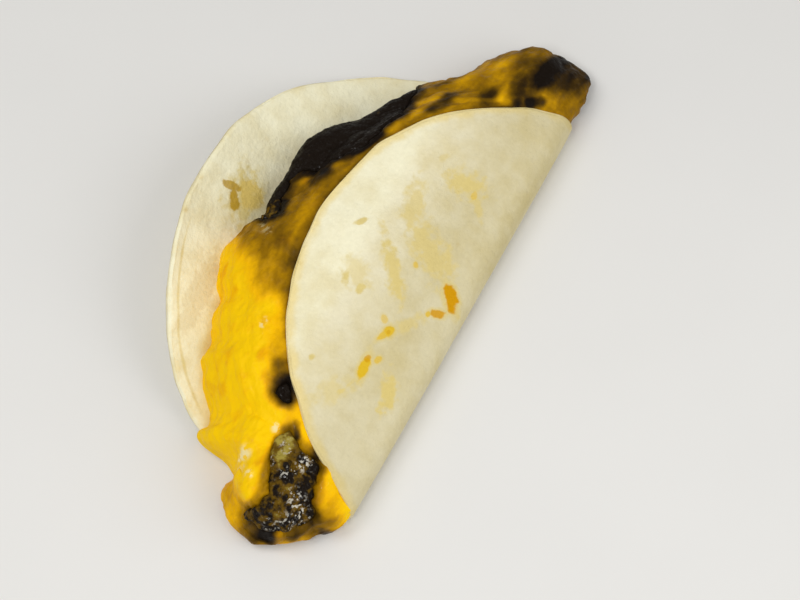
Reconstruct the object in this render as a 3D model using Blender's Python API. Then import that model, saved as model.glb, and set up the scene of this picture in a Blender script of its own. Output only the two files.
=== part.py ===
"""Bean and cheese taco: a flour tortilla folded over melted cheese and black beans.

X runs along the fold, +Y points from the fold to the open side, and Z is up. The taco lies on its
longer, lower flap, which curls up at its rim. The shorter, upper flap slopes up from the fold. The
cheese lines the inside, closes over the beans in the -X half and spills out at both ends.
All lengths are metres.
"""

from math import pi, radians, tan

import bmesh
import bpy
import numpy as np

GAP = 0.0003  # between pieces that touch

# The tortilla is a round sheet, folded beside its middle. "Along" is the distance from the crease,
# measured on the sheet: negative on the upper flap, positive on the lower one.
TORTILLA_RADIUS = 0.075
TORTILLA_THICKNESS = 0.0026
MIDDLE_ALONG = 0.0213
FOLD_RADIUS = 0.0058
UPPER_SLOPE = radians(30.0)
UPPER_RIM_SLOPE = radians(8.5)
FLAT_LENGTH = 0.0318
CURL_RADIUS = 0.060
CURL_GROWTH = 0.41  # the curl's radius grows by this share from the middle to the +X end
SWELL = 0.0008
SWELL_RISE = 0.016

# The filling is a long mound between the flaps, with two rounded ends that spill out.
MOUND_BODY = 0.062  # half length of the stretch before the ends round off
MOUND_REACH = 0.0505  # from the sheet's middle to the filling's edge on the lower flap
MOUND_PLAN_LENGTH = 0.080  # half length of the oval that this edge follows
MOUND_TUCK = 0.0022  # how far it stays inside the upper flap's rim
MOUTH_BULGE = 0.40
MOUTH_RETREAT = 0.0052  # how much sooner the free face ends where the beans lie bare beside it
RETREAT_STARTS = (-0.006, 0.050)
RETREAT_LENGTH = 0.013
MOUTH_MEETING = (0.0, -0.30, 0.95)  # direction in which the free face leaves the lower flap

# Each end narrows to a tip, at Y and Z. Its outline gives, at each distance from the taco's middle,
# the shares of the body's width that are left on the fold's side and on the mouth's side.
NEAR_TIP = (0.0215, 0.0052)
NEAR_OUTLINE = (
    (0.062, 1.00, 1.00),
    (0.066, 1.00, 0.98),
    (0.070, 1.03, 0.92),
    (0.074, 1.08, 0.72),
    (0.079, 0.97, 0.46),
    (0.084, 0.80, 0.45),
    (0.088, 0.57, 0.36),
    (0.091, 0.30, 0.19),
    (0.092, 0.00, 0.00),
)
FAR_TIP = (0.0125, 0.0052)
FAR_OUTLINE = (
    (0.062, 1.00, 1.00),
    (0.066, 1.00, 0.80),
    (0.071, 1.00, 0.63),
    (0.077, 1.00, 0.55),
    (0.082, 1.00, 0.46),
    (0.086, 0.98, 0.32),
    (0.089, 0.60, 0.16),
    (0.090, 0.00, 0.00),
)

# The beans' log: X, Y, Z, half width and half height of its sections, which tilt up to the mouth
BEAN_SECTIONS = (
    (-0.078, 0.0205, 0.0112, 0.0120, 0.0100),
    (-0.070, 0.0220, 0.0112, 0.0125, 0.0092),
    (-0.062, 0.0255, 0.0110, 0.0150, 0.0060),
    (-0.030, 0.0335, 0.0121, 0.0230, 0.0078),
    (0.000, 0.0380, 0.0128, 0.0268, 0.0085),
    (0.020, 0.0375, 0.0127, 0.0268, 0.0085),
    (0.040, 0.0320, 0.0119, 0.0250, 0.0083),
    (0.056, 0.0255, 0.0110, 0.0215, 0.0080),
    (0.075, 0.0175, 0.0102, 0.0138, 0.0084),
)
BEAN_LOG_HALF_LENGTH = 0.0905
BEAN_LOG_BODY = 0.066
BEAN_LOG_TILT = tan(radians(8.4))
BEAN_BUMPS = 150
BEAN_BUMP_RADIUS = 0.0036
BEAN_BUMP_HEIGHT = 0.0014
SEED = 11

# Soft lobes, dents and a bare spot of the filling: place, radius and push
CHEESE_LOBES = (
    ((-0.0720, 0.0470, 0.0070), 0.0050, (-0.0030, 0.0030, 0.0000)),
    ((-0.0870, 0.0310, 0.0070), 0.0075, (-0.0015, 0.0020, 0.0000)),
)
BARE_SPOT = (((-0.0550, 0.0360, 0.0180), 0.0050, (0.0000, 0.0015, 0.0075)),)

SHEET_COLUMNS = 26
SHEET_ROWS = 44
RIM_ROW = 0.0016
MOUND_RINGS = 24
MOUND_END_RINGS = 9
FLAP_POINTS = 11
MOUTH_POINTS = 9
BEAN_RING_POINTS = 28


def clear_scene():
    """Remove every object that the scene starts with."""
    for thing in list(bpy.data.objects):
        bpy.data.objects.remove(thing)


def smooth_step(value):
    """0 below 0, 1 above 1 and an S-shaped rise between."""
    share = np.clip(value, 0.0, 1.0)
    return share * share * (3.0 - 2.0 * share)


def even_bend(length, curvature, start):
    """Y, Z and direction after this length of a curve that starts in a direction and turns evenly."""
    curvature = np.where(np.abs(curvature) < 1e-6, 1e-6, curvature)
    end = start + curvature * length
    return (np.sin(end) - np.sin(start)) / curvature, (np.cos(start) - np.cos(end)) / curvature, end


def upper_flap(length):
    """Y, Z and slope of the upper flap: round the fold, then up to the rim ever flatter."""
    fold = FOLD_RADIUS * (pi / 2 - UPPER_SLOPE)
    rest = TORTILLA_RADIUS - MIDDLE_ALONG - fold
    turned = even_bend(np.minimum(length, fold), -1 / FOLD_RADIUS, pi / 2)
    flatter = (UPPER_RIM_SLOPE - UPPER_SLOPE) / rest
    risen = even_bend(np.maximum(length - fold, 0.0), flatter, turned[2])
    return turned[0] + risen[0], turned[1] + risen[1], risen[2] - pi


def lower_flap(length, x):
    """Y, Z and slope of the lower flap: round the fold, flat on the table, then curling up."""
    fold = FOLD_RADIUS * pi / 2
    turned = even_bend(np.minimum(length, fold), 1 / FOLD_RADIUS, -pi / 2)
    flat = np.clip(length - fold, 0.0, FLAT_LENGTH)
    curl = CURL_RADIUS * (1 + CURL_GROWTH * x / TORTILLA_RADIUS)
    curled = even_bend(np.maximum(length - fold - FLAT_LENGTH, 0.0), 1 / curl, turned[2])
    return turned[0] + flat + curled[0], turned[1] + curled[1], curled[2]


def swell(x, along):
    """Height of the sheet's soft waves, which fade out where it lies on the table."""
    waves = np.sin(95 * x + 60 * along + 0.6) + np.sin(150 * x - 85 * along + 2.1)
    waves += 0.7 * np.sin(48 * x + 190 * along + 4.0)
    flat_middle = FOLD_RADIUS * pi / 2 + FLAT_LENGTH / 2
    off_table = smooth_step((np.abs(along - flat_middle) - 0.7 * FLAT_LENGTH) / SWELL_RISE)
    return 0.4 * SWELL * waves * off_table


def sheet(x, along, lift=0.0):
    """Points of the folded sheet, lifted off its middle layer towards the filling."""
    x, along, lift = np.broadcast_arrays(x, along, lift)
    upper = upper_flap(np.maximum(-along, 0.0))
    lower = lower_flap(np.maximum(along, 0.0), x)
    y, z, slope = np.where(along < 0, upper, lower)
    lift = lift + swell(x, along)
    y = y + TORTILLA_THICKNESS / 2 - lift * np.sin(slope)
    z = z + FOLD_RADIUS + TORTILLA_THICKNESS / 2 + lift * np.cos(slope)
    return np.stack([x, y, z], axis=-1)


def crowded(start, end, count, density):
    """Values from start to end, with more of them where the density is high."""
    fine = np.linspace(start, end, 2000)
    total = np.cumsum(density(fine))
    total = (total - total[0]) / (total[-1] - total[0])
    return np.interp(np.linspace(0, 1, count), total, fine)


def smooth_through(values, places, targets):
    """A smooth curve through targets at places, read at these values."""
    slopes = np.gradient(targets, places)
    piece = np.clip(np.searchsorted(places, values) - 1, 0, len(places) - 2)
    length = places[piece + 1] - places[piece]
    share = np.clip((values - places[piece]) / length, 0, 1)
    line = (1 - share) * targets[piece] + share * targets[piece + 1]
    rise = targets[piece + 1] - targets[piece]
    start, end = slopes[piece] * length - rise, slopes[piece + 1] * length - rise
    return line + share * (1 - share) * ((1 - share) * start - share * end)


def push(points, lobes):
    """Move points by soft lobes, each a push that fades with the distance from its place."""
    for place, radius, shift in lobes:
        distance = np.linalg.norm(points - np.array(place), axis=-1, keepdims=True)
        points = points + np.exp(-((distance / radius) ** 2)) * np.array(shift)
    return points


def closed_loft(name, rings, first_pole, last_pole):
    """A closed mesh object through rings of points, ending in a point on each side."""
    count, size, _ = rings.shape
    points = np.concatenate([rings.reshape(-1, 3), [first_pole, last_pole]])
    here = np.arange(size)
    following = np.roll(here, -1)
    start = size * np.arange(count - 1)[:, None]
    beside, ahead = start + here, start + following
    faces = np.stack([beside, ahead, ahead + size, beside + size], axis=-1).reshape(-1, 4).tolist()
    last = size * (count - 1)
    faces += [(count * size, b, a) for a, b in zip(here.tolist(), following.tolist())]
    faces += [(count * size + 1, last + a, last + b) for a, b in zip(here.tolist(), following.tolist())]
    mesh = bpy.data.meshes.new(name)
    mesh.from_pydata(points.tolist(), [], faces)
    working = bmesh.new()
    working.from_mesh(mesh)
    bmesh.ops.recalc_face_normals(working, faces=working.faces)
    bmesh.ops.triangulate(working, faces=working.faces)
    working.to_mesh(mesh)
    working.free()
    mesh.shade_smooth()
    piece = bpy.data.objects.new(name, mesh)
    bpy.context.scene.collection.objects.link(piece)
    return piece


def sheet_density(along):
    """Rows crowd at the fold, where the sheet bends, and at both rims, where it rounds off."""
    first, last = MIDDLE_ALONG - TORTILLA_RADIUS, MIDDLE_ALONG + TORTILLA_RADIUS
    fold = 2.2 * np.exp(-((along / 0.009) ** 2))
    rims = 5.0 * np.exp(-(along - first) / RIM_ROW) + 5.0 * np.exp(-(last - along) / RIM_ROW)
    return 1.0 + fold + rims


def folded_sheet(name, radius, thickness):
    """The folded sheet as a closed solid whose rim is rounded over half its thickness."""
    first, last = MIDDLE_ALONG - radius, MIDDLE_ALONG + radius
    rows = crowded(first, last, SHEET_ROWS + 2, sheet_density)[1:-1]
    turn = np.linspace(0, 2 * pi, 2 * SHEET_COLUMNS, endpoint=False)
    # Going round a row, the share of its half width and then which face the point is on
    share = np.sin(pi / 2 * (1 - 2 * np.abs(turn / pi - 1)))
    face = np.sign(np.round(pi - turn, 6)) * (np.abs(share) < 1 - 1e-9)
    half_width = np.sqrt(radius**2 - (rows - MIDDLE_ALONG) ** 2)
    x = half_width[:, None] * share
    inset = radius - np.hypot(x, (rows - MIDDLE_ALONG)[:, None])
    rounding = np.clip(1 - 2 * inset / thickness, 0, 1)
    lift = face * thickness / 2 * np.sqrt(1 - rounding**2)
    rings = sheet(x, rows[:, None], lift)
    return closed_loft(name, rings, sheet(0.0, first), sheet(0.0, last))


def mouth_curve(upper_end, upper_before, lower_end):
    """The filling's free face: leaves the upper flap along its slope and meets the lower one steeply."""
    span = np.linalg.norm(upper_end - lower_end, axis=-1, keepdims=True)
    leaving = upper_end - upper_before
    leaving = leaving / np.linalg.norm(leaving, axis=-1, keepdims=True)
    share = np.linspace(0, 1, MOUTH_POINTS + 2)[1:-1, None, None]
    lower_handle = lower_end + MOUTH_BULGE * span * np.array(MOUTH_MEETING)
    upper_handle = upper_end + MOUTH_BULGE * span * leaving
    handles = (lower_end, lower_handle, upper_handle, upper_end)
    weights = ((1 - share) ** 3, 3 * share * (1 - share) ** 2, 3 * share**2 * (1 - share), share**3)
    return sum(weight * handle for weight, handle in zip(weights, handles))


def end_share(x, body, half_length):
    """1 along the body, falling to 0 over a rounded end."""
    past = np.clip((np.abs(x) - body) / (half_length - body), 0, 1)
    return np.sqrt(1 - past**2)


def stations(body, near_tip, far_tip, rings, end_rings):
    """X of the rings: even along the body, crowding towards both tips."""
    turn = np.sin(np.linspace(0, pi / 2, end_rings + 2)[1:-1])
    near = -body + (near_tip + body) * turn[::-1]
    far = body + (far_tip - body) * turn
    return np.concatenate([near, np.linspace(-body, body, rings), far])


def mound_rings(x):
    """Closed sections of the filling: over the lower flap, up the free face, back under the upper flap."""
    at = np.clip(x, -MOUND_BODY, MOUND_BODY)
    rim = MIDDLE_ALONG - np.sqrt(TORTILLA_RADIUS**2 - at**2) + MOUND_TUCK
    edge = MIDDLE_ALONG + MOUND_REACH * np.sqrt(1 - (at / MOUND_PLAN_LENGTH) ** 2)
    starts, ends = (smooth_step((at - start) / RETREAT_LENGTH) for start in RETREAT_STARTS)
    edge = edge - MOUTH_RETREAT * (starts - ends)
    share = np.linspace(0, 1, FLAP_POINTS)[:, None] ** 1.3
    lower = sheet(at, edge * share)
    upper = sheet(at, rim * share[1:])
    free = mouth_curve(upper[-1], upper[-2], lower[-1])
    return np.concatenate([lower, free, upper[::-1]]).transpose(1, 0, 2)


def mound(name):
    """The whole filling before the beans and the tortilla are cut from it."""
    x = stations(MOUND_BODY, -NEAR_OUTLINE[-1][0], FAR_OUTLINE[-1][0], MOUND_RINGS, MOUND_END_RINGS)
    rings = mound_rings(x)
    rings[..., 0] = x[:, None]
    for side, outline, tip in ((-1, NEAR_OUTLINE, NEAR_TIP), (1, FAR_OUTLINE, FAR_TIP)):
        at, fold_share, mouth_share = np.array(outline).T
        past = side * x > MOUND_BODY
        out = side * x[past, None]
        offset = rings[past][..., 1:] - tip
        fold = smooth_through(out, at, fold_share)
        mouth = smooth_through(out, at, mouth_share)
        offset[..., 0] *= np.where(offset[..., 0] < 0, fold, mouth)
        offset[..., 1] *= end_share(out, MOUND_BODY, at[-1])
        rings[past, :, 1:] = tip + offset
    poles = np.array([[-NEAR_OUTLINE[-1][0], *NEAR_TIP], [FAR_OUTLINE[-1][0], *FAR_TIP]])
    return closed_loft(name, push(rings, CHEESE_LOBES), *push(poles, CHEESE_LOBES))


def bean_bumps(points, outward, random):
    """Raise a rounded bump over each of the scattered beans that press against the log's skin."""
    flat = points.reshape(-1, 3)
    places = flat[random.choice(len(flat), BEAN_BUMPS, replace=False)]
    distance = np.linalg.norm(points[..., None, :] - places, axis=-1)
    height = np.exp(-((distance / BEAN_BUMP_RADIUS) ** 2)).max(axis=-1)
    return points + BEAN_BUMP_HEIGHT * (height - 0.4)[..., None] * outward


def bean_log(name, extra):
    """The beans as one long lumpy log, grown outward by an extra."""
    half_length = BEAN_LOG_HALF_LENGTH + extra
    x = stations(BEAN_LOG_BODY, -half_length, half_length, MOUND_RINGS, MOUND_END_RINGS)
    at, across, up, half_width, half_height = np.array(BEAN_SECTIONS).T
    share = end_share(x, BEAN_LOG_BODY, half_length)
    held = np.clip(x, at[0], at[-1])
    width = smooth_through(held, at, half_width) * share + extra
    height = smooth_through(held, at, half_height) * share + extra
    centre_y = smooth_through(held, at, across)
    centre_z = smooth_through(held, at, up)
    turn = np.linspace(0, 2 * pi, BEAN_RING_POINTS, endpoint=False)
    aside = width[:, None] * np.cos(turn)
    y = centre_y[:, None] + aside
    z = centre_z[:, None] + BEAN_LOG_TILT * aside + height[:, None] * np.sin(turn)
    rings = np.stack([np.broadcast_to(x[:, None], y.shape), y, z], axis=-1)
    outward = np.stack([0 * y, np.cos(turn) / width[:, None], np.sin(turn) / height[:, None]], axis=-1)
    outward /= np.linalg.norm(outward, axis=-1, keepdims=True)
    rings = push(bean_bumps(rings, outward, np.random.default_rng(SEED)), BARE_SPOT)
    near_tip = (-half_length, centre_y[0], centre_z[0])
    far_tip = (half_length, centre_y[-1], centre_z[-1])
    return closed_loft(name, rings, near_tip, far_tip)


def cut(piece, cutter):
    """Subtract a hidden cutter from a piece."""
    difference = piece.modifiers.new("clear of " + cutter.name, "BOOLEAN")
    difference.operation = "DIFFERENCE"
    difference.object = cutter
    difference.solver = "EXACT"
    cutter.hide_render = True
    cutter.display_type = "WIRE"


def centre_on_origin(pieces, helpers):
    """Move everything so that the pieces' common box stands on the origin."""
    graph = bpy.context.evaluated_depsgraph_get()
    boxes = [piece.evaluated_get(graph).bound_box for piece in pieces]
    corners = np.array([corner[:] for box in boxes for corner in box])
    lowest, highest = corners.min(axis=0), corners.max(axis=0)
    middle = (lowest + highest) / 2
    for thing in (*pieces, *helpers):
        thing.location = (-middle[0], -middle[1], -lowest[2])


def finish(piece, color, roughness):
    """Give a piece its own material."""
    material = bpy.data.materials.new(piece.name)
    material.use_nodes = True
    shader = material.node_tree.nodes["Principled BSDF"]
    shader.inputs["Base Color"].default_value = (*color, 1.0)
    shader.inputs["Roughness"].default_value = roughness
    shader.inputs["Metallic"].default_value = 0.0
    piece.data.materials.append(material)


def main():
    """Build the tortilla, the beans and the cheese around them."""
    clear_scene()
    tortilla = folded_sheet("tortilla", TORTILLA_RADIUS, TORTILLA_THICKNESS)
    tortilla_room = folded_sheet("tortilla_room", TORTILLA_RADIUS + GAP, TORTILLA_THICKNESS + 2 * GAP)
    beans = bean_log("beans", 0.0)
    beans_room = bean_log("beans_room", GAP)
    cheese = mound("cheese")
    cut(beans, tortilla_room)
    cut(cheese, tortilla_room)
    cut(cheese, beans_room)
    centre_on_origin((tortilla, cheese, beans), (tortilla_room, beans_room))
    finish(tortilla, (0.80, 0.72, 0.52), 0.75)
    finish(cheese, (0.85, 0.45, 0.02), 0.30)
    finish(beans, (0.025, 0.016, 0.010), 0.35)


main()
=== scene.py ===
"""Looks of a bean and cheese taco: a folded flour tortilla, melted cheese and black beans.

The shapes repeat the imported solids' own sizes in finer form. They are worked out in the maker's
frame, where the fold's outer face is at Y = 0, the sheet's middle at X = 0 and the table at Z = 0,
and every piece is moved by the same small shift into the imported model's frame. Lengths are metres.
"""

import logging
from collections.abc import Callable, Sequence
from dataclasses import dataclass
from enum import Enum
from itertools import product
from math import cos, pi, radians, sin, tan

import bpy
import numpy as np
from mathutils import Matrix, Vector


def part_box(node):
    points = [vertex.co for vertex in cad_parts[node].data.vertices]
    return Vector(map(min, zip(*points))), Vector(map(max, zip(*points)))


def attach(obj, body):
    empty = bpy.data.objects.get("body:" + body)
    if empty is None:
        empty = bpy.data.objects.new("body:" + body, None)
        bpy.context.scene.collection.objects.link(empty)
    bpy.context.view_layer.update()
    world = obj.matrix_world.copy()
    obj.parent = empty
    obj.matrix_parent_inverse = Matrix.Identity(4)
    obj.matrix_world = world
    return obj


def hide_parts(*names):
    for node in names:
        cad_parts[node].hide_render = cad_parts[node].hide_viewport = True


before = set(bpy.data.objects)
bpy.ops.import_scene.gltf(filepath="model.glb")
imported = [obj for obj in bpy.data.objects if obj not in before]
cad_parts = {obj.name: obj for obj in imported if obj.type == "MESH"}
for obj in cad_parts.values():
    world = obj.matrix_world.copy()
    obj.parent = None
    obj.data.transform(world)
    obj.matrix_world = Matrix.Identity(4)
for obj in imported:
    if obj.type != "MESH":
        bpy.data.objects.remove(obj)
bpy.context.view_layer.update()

Array = np.ndarray
Color = tuple[float, float, float]
Place = tuple[float, float, float]
Looks = dict[str, Array]
LOG = logging.getLogger("taco")


# ---------------------------------------------------------------------------------------------
# Curves and noise, as whole arrays
# ---------------------------------------------------------------------------------------------


def smooth_step(value: Array) -> Array:
    """0 below 0, 1 above 1 and an S-shaped rise between: 3t^2 - 2t^3."""
    share = np.clip(value, 0.0, 1.0)
    return share * share * (3.0 - 2.0 * share)


def bell(value: Array) -> Array:
    """1 at 0, fading both ways as exp(-value^2)."""
    return np.exp(-(value**2))


def scrambled(cells: Array, seed: int) -> Array:
    """Random values from 0 to 1 for whole-numbered cells, by mixing the bits of their weighted sum.

    Args:
        cells: Whole numbers with the cell's three indices on the last axis.
        seed: Picks another set of values.

    Returns:
        One value for each cell.
    """
    keys = cells @ np.array([374761393, 668265263, 1442695041]) + seed * 1013904223
    for shift, factor in ((13, 1274126177), (16, 1103515245), (14, 1181783497)):
        keys = ((keys & 0xFFFFFFFF) ^ ((keys & 0xFFFFFFFF) >> shift)) * factor
    return (keys & 0xFFFFFFFF) / 4294967296.0


def soft_noise(points: Array, size: float, seed: int) -> Array:
    """Smooth noise from -1 to 1: random values at a grid's corners, blended along its three axes.

    Args:
        points: Points on the last axis, in metres.
        size: The grid's spacing, in metres.
        seed: Picks another pattern.

    Returns:
        One value for each point.
    """
    at = points / size
    cell = np.floor(at).astype(np.int64)
    share = smooth_step(at - cell)
    total = np.zeros(points.shape[:-1])
    for corner in product((0, 1), repeat=3):
        weight = np.prod(np.where(corner, share, 1 - share), axis=-1)
        total += weight * scrambled(cell + np.array(corner), seed)
    return 2 * total - 1


def layered_noise(points: Array, size: float, seed: int, layers: int = 3) -> Array:
    """Noise with finer detail: each further layer has half the size and half the height."""
    return sum(soft_noise(points, size / 2**step, seed + step) / 2**step for step in range(layers))


def bent(points: Array, amount: float, size: float, seed: int) -> Array:
    """Points moved a little on each axis by smooth noise of its own."""
    waves = [soft_noise(points, size, seed + axis) for axis in range(3)]
    return points + amount * np.stack(waves, axis=-1)


def nearest_seed(points: Array, size: float, seed: int) -> tuple[Array, Array]:
    """Distance to the nearest of scattered seeds, one in every cube of a grid.

    Args:
        points: Points on the last axis, in metres.
        size: The cubes' side, in metres.
        seed: Picks another scatter.

    Returns:
        The distance as a share of the side, and a random value that belongs to that seed.
    """
    at = points / size
    home = np.floor(at).astype(np.int64)
    nearest = np.full(points.shape[:-1], 9.0)
    value = np.zeros(points.shape[:-1])
    for step in product((-1, 0, 1), repeat=3):
        cell = home + np.array(step)
        centre = cell + np.stack([scrambled(cell, seed + axis) for axis in range(3)], axis=-1)
        distance = np.linalg.norm(at - centre, axis=-1)
        closer = distance < nearest
        nearest = np.where(closer, distance, nearest)
        value = np.where(closer, scrambled(cell, seed + 7), value)
    return nearest, value


def even_bend(length: Array, curvature: Array, start: Array) -> tuple[Array, Array, Array]:
    """A curve that turns evenly, from Y and Z of 0: the arc's closed form.

    Args:
        length: How far along the curve.
        curvature: Turn per metre.
        start: Direction at its start, in radians from +Y.

    Returns:
        Y, Z and direction there.
    """
    curvature = np.where(np.abs(curvature) < 1e-6, 1e-6, curvature)
    end = start + curvature * length
    return (np.sin(end) - np.sin(start)) / curvature, (np.cos(start) - np.cos(end)) / curvature, end


def crowded(start: float, end: float, count: int, density: Callable[[Array], Array]) -> Array:
    """Values that lie closer where a density is higher: equal steps of its running total.

    Args:
        start: The first value.
        end: The last value.
        count: How many values.
        density: The density at an array of values.

    Returns:
        The values, in order.
    """
    fine = np.linspace(start, end, 4000)
    total = np.cumsum(density(fine))
    total = (total - total[0]) / (total[-1] - total[0])
    return np.interp(np.linspace(0, 1, count), total, fine)


def smooth_through(values: Array, places: Array, targets: Array) -> Array:
    """A cubic Hermite curve through targets at places.

    Args:
        values: Where the curve is read.
        places: Rising places of its knots.
        targets: Its value at each knot; slopes are the knots' central differences.

    Returns:
        The curve's value at each of the values.
    """
    slopes = np.gradient(targets, places)
    piece = np.clip(np.searchsorted(places, values) - 1, 0, len(places) - 2)
    length = places[piece + 1] - places[piece]
    share = np.clip((values - places[piece]) / length, 0, 1)
    line = (1 - share) * targets[piece] + share * targets[piece + 1]
    rise = targets[piece + 1] - targets[piece]
    start, end = slopes[piece] * length - rise, slopes[piece + 1] * length - rise
    return line + share * (1 - share) * ((1 - share) * start - share * end)


def end_share(x: Array, body: float, half_length: float) -> Array:
    """1 along the body, falling to 0 over an end rounded as a quarter of an ellipse."""
    past = np.clip((np.abs(x) - body) / (half_length - body), 0, 1)
    return np.sqrt(1 - past**2)


def outward_normals(rings: Array) -> Array:
    """Unit normals of closed rings: the cross product of the steps between and along the rings.

    Args:
        rings: Points by ring, by place on the ring, by axis.

    Returns:
        Normals in the same layout, turned so that most point away from their ring's middle.
    """
    between = np.gradient(rings, axis=0)
    along = np.roll(rings, -1, axis=1) - np.roll(rings, 1, axis=1)
    normals = np.cross(between, along)
    normals /= np.maximum(np.linalg.norm(normals, axis=-1, keepdims=True), 1e-12)
    away = np.sum(normals * (rings - rings.mean(axis=1, keepdims=True)), axis=-1)
    return normals * np.sign(away.sum())


# ---------------------------------------------------------------------------------------------
# Meshes
# ---------------------------------------------------------------------------------------------


def add_piece(name: str, points: Array, faces: list[Array], looks: Looks) -> bpy.types.Object:
    """A smooth-shaded mesh object with values for its material stored at its points.

    Args:
        name: The piece's name.
        points: Its points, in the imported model's frame.
        faces: Arrays of point indices, one array for each number of corners.
        looks: Arrays by attribute name: one number, or three, for each point.

    Returns:
        The new object, in the scene.
    """
    mesh = bpy.data.meshes.new(name)
    mesh.from_pydata(points.tolist(), [], [face for group in faces for face in group.tolist()])
    for label, values in looks.items():
        vector = values.ndim > 1
        layer = mesh.attributes.new(label, "FLOAT_VECTOR" if vector else "FLOAT", "POINT")
        layer.data.foreach_set("vector" if vector else "value", values.astype(np.float32).ravel())
    mesh.shade_smooth()
    piece = bpy.data.objects.new(name, mesh)
    bpy.context.scene.collection.objects.link(piece)
    return piece


def closed_faces(count: int, size: int) -> list[Array]:
    """Faces of a closed surface: quads from each ring to the next, and a fan round each pole.

    Args:
        count: The number of rings.
        size: The number of points on each ring.

    Returns:
        The quads and the triangles; the poles are the two points after the rings'.
    """
    here = np.arange(size)
    ahead = np.roll(here, -1)
    start = size * np.arange(count - 1)[:, None]
    corners = (start + here, start + ahead, start + ahead + size, start + here + size)
    quads = np.stack(corners, axis=-1).reshape(-1, 4)
    last, first_pole = size * (count - 1), np.full(size, count * size)
    fans = (
        np.stack([first_pole, ahead, here], axis=-1),
        np.stack([first_pole + 1, last + here, last + ahead], axis=-1),
    )
    return [quads, np.concatenate(fans)]


def facing_out(points: Array, faces: list[Array]) -> list[Array]:
    """Faces that point outwards: turned round if the volume that they enclose comes out negative.

    Args:
        points: The points.
        faces: The quads and the triangles.

    Returns:
        The faces in the same two groups.
    """
    quads, fans = faces
    halves = np.concatenate([quads[:, [0, 1, 2]], quads[:, [0, 2, 3]], fans])
    return faces if np.linalg.det(points[halves]).sum() > 0 else [group[:, ::-1] for group in faces]


def closed_piece(name: str, rings: Array, looks: Looks, poles: Array | None = None) -> bpy.types.Object:
    """A closed piece through rings of points, with a pole past the first and past the last ring.

    Args:
        name: The piece's name.
        rings: Points by ring, by place on the ring, by axis, in the maker's frame.
        looks: Attribute arrays by name in the rings' layout; a pole takes its ring's mean.
        poles: The two poles, or None for the middles of the first and last ring.

    Returns:
        The new object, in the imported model's frame.
    """
    count, size, _ = rings.shape
    if poles is None:
        poles = rings[[0, -1]].mean(axis=1)
    points = np.concatenate([rings.reshape(-1, 3), poles])
    flat = {}
    for label, values in looks.items():
        ends = [values[0].mean(axis=0, keepdims=True), values[-1].mean(axis=0, keepdims=True)]
        flat[label] = np.concatenate([values.reshape(count * size, *values.shape[2:]), *ends])
    faces = facing_out(points, closed_faces(count, size))
    return add_piece(name, points + packed_shift(), faces, flat)


def packed_shift() -> Array:
    """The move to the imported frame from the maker's, where the tortilla's box starts at Y = 0."""
    low, high = (np.array(corner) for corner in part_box("tortilla"))
    return np.array([(low[0] + high[0]) / 2, low[1], 0.0])


# ---------------------------------------------------------------------------------------------
# Materials
# ---------------------------------------------------------------------------------------------


def math_method(operation: str, turned: bool = False) -> "Callable[[Wire, Wire | float], Wire]":
    """A method for an arithmetic sign on wires.

    Args:
        operation: The Math node's operation.
        turned: True for the reflected form, with the other value first.

    Returns:
        The method, which adds a Math node and gives its wire.
    """

    def method(wire: "Wire", other: "Wire | float") -> "Wire":
        """Add the Math node."""
        values = (other, wire) if turned else (wire, other)
        return wire.board.node("ShaderNodeMath", {"operation": operation}, dict(enumerate(values)))

    return method


class Wire:
    """A value on its way through a material: arithmetic on it adds Math nodes."""

    __add__, __radd__ = math_method("ADD"), math_method("ADD", True)
    __sub__, __rsub__ = math_method("SUBTRACT"), math_method("SUBTRACT", True)
    __mul__, __rmul__ = math_method("MULTIPLY"), math_method("MULTIPLY", True)
    __truediv__, __pow__ = math_method("DIVIDE"), math_method("POWER")
    above = math_method("MAXIMUM")

    def __init__(self, board: "Board", socket: bpy.types.NodeSocket) -> None:
        """Keep the socket and the board that it is on."""
        self.board = board
        self.socket = socket

    def rise(self, low: float, high: float) -> "Wire":
        """0 up to low, 1 from high and an S-shaped rise between."""
        span = {"Value": self, "From Min": low, "From Max": high}
        return self.board.node("ShaderNodeMapRange", {"interpolation_type": "SMOOTHSTEP"}, span)


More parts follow.
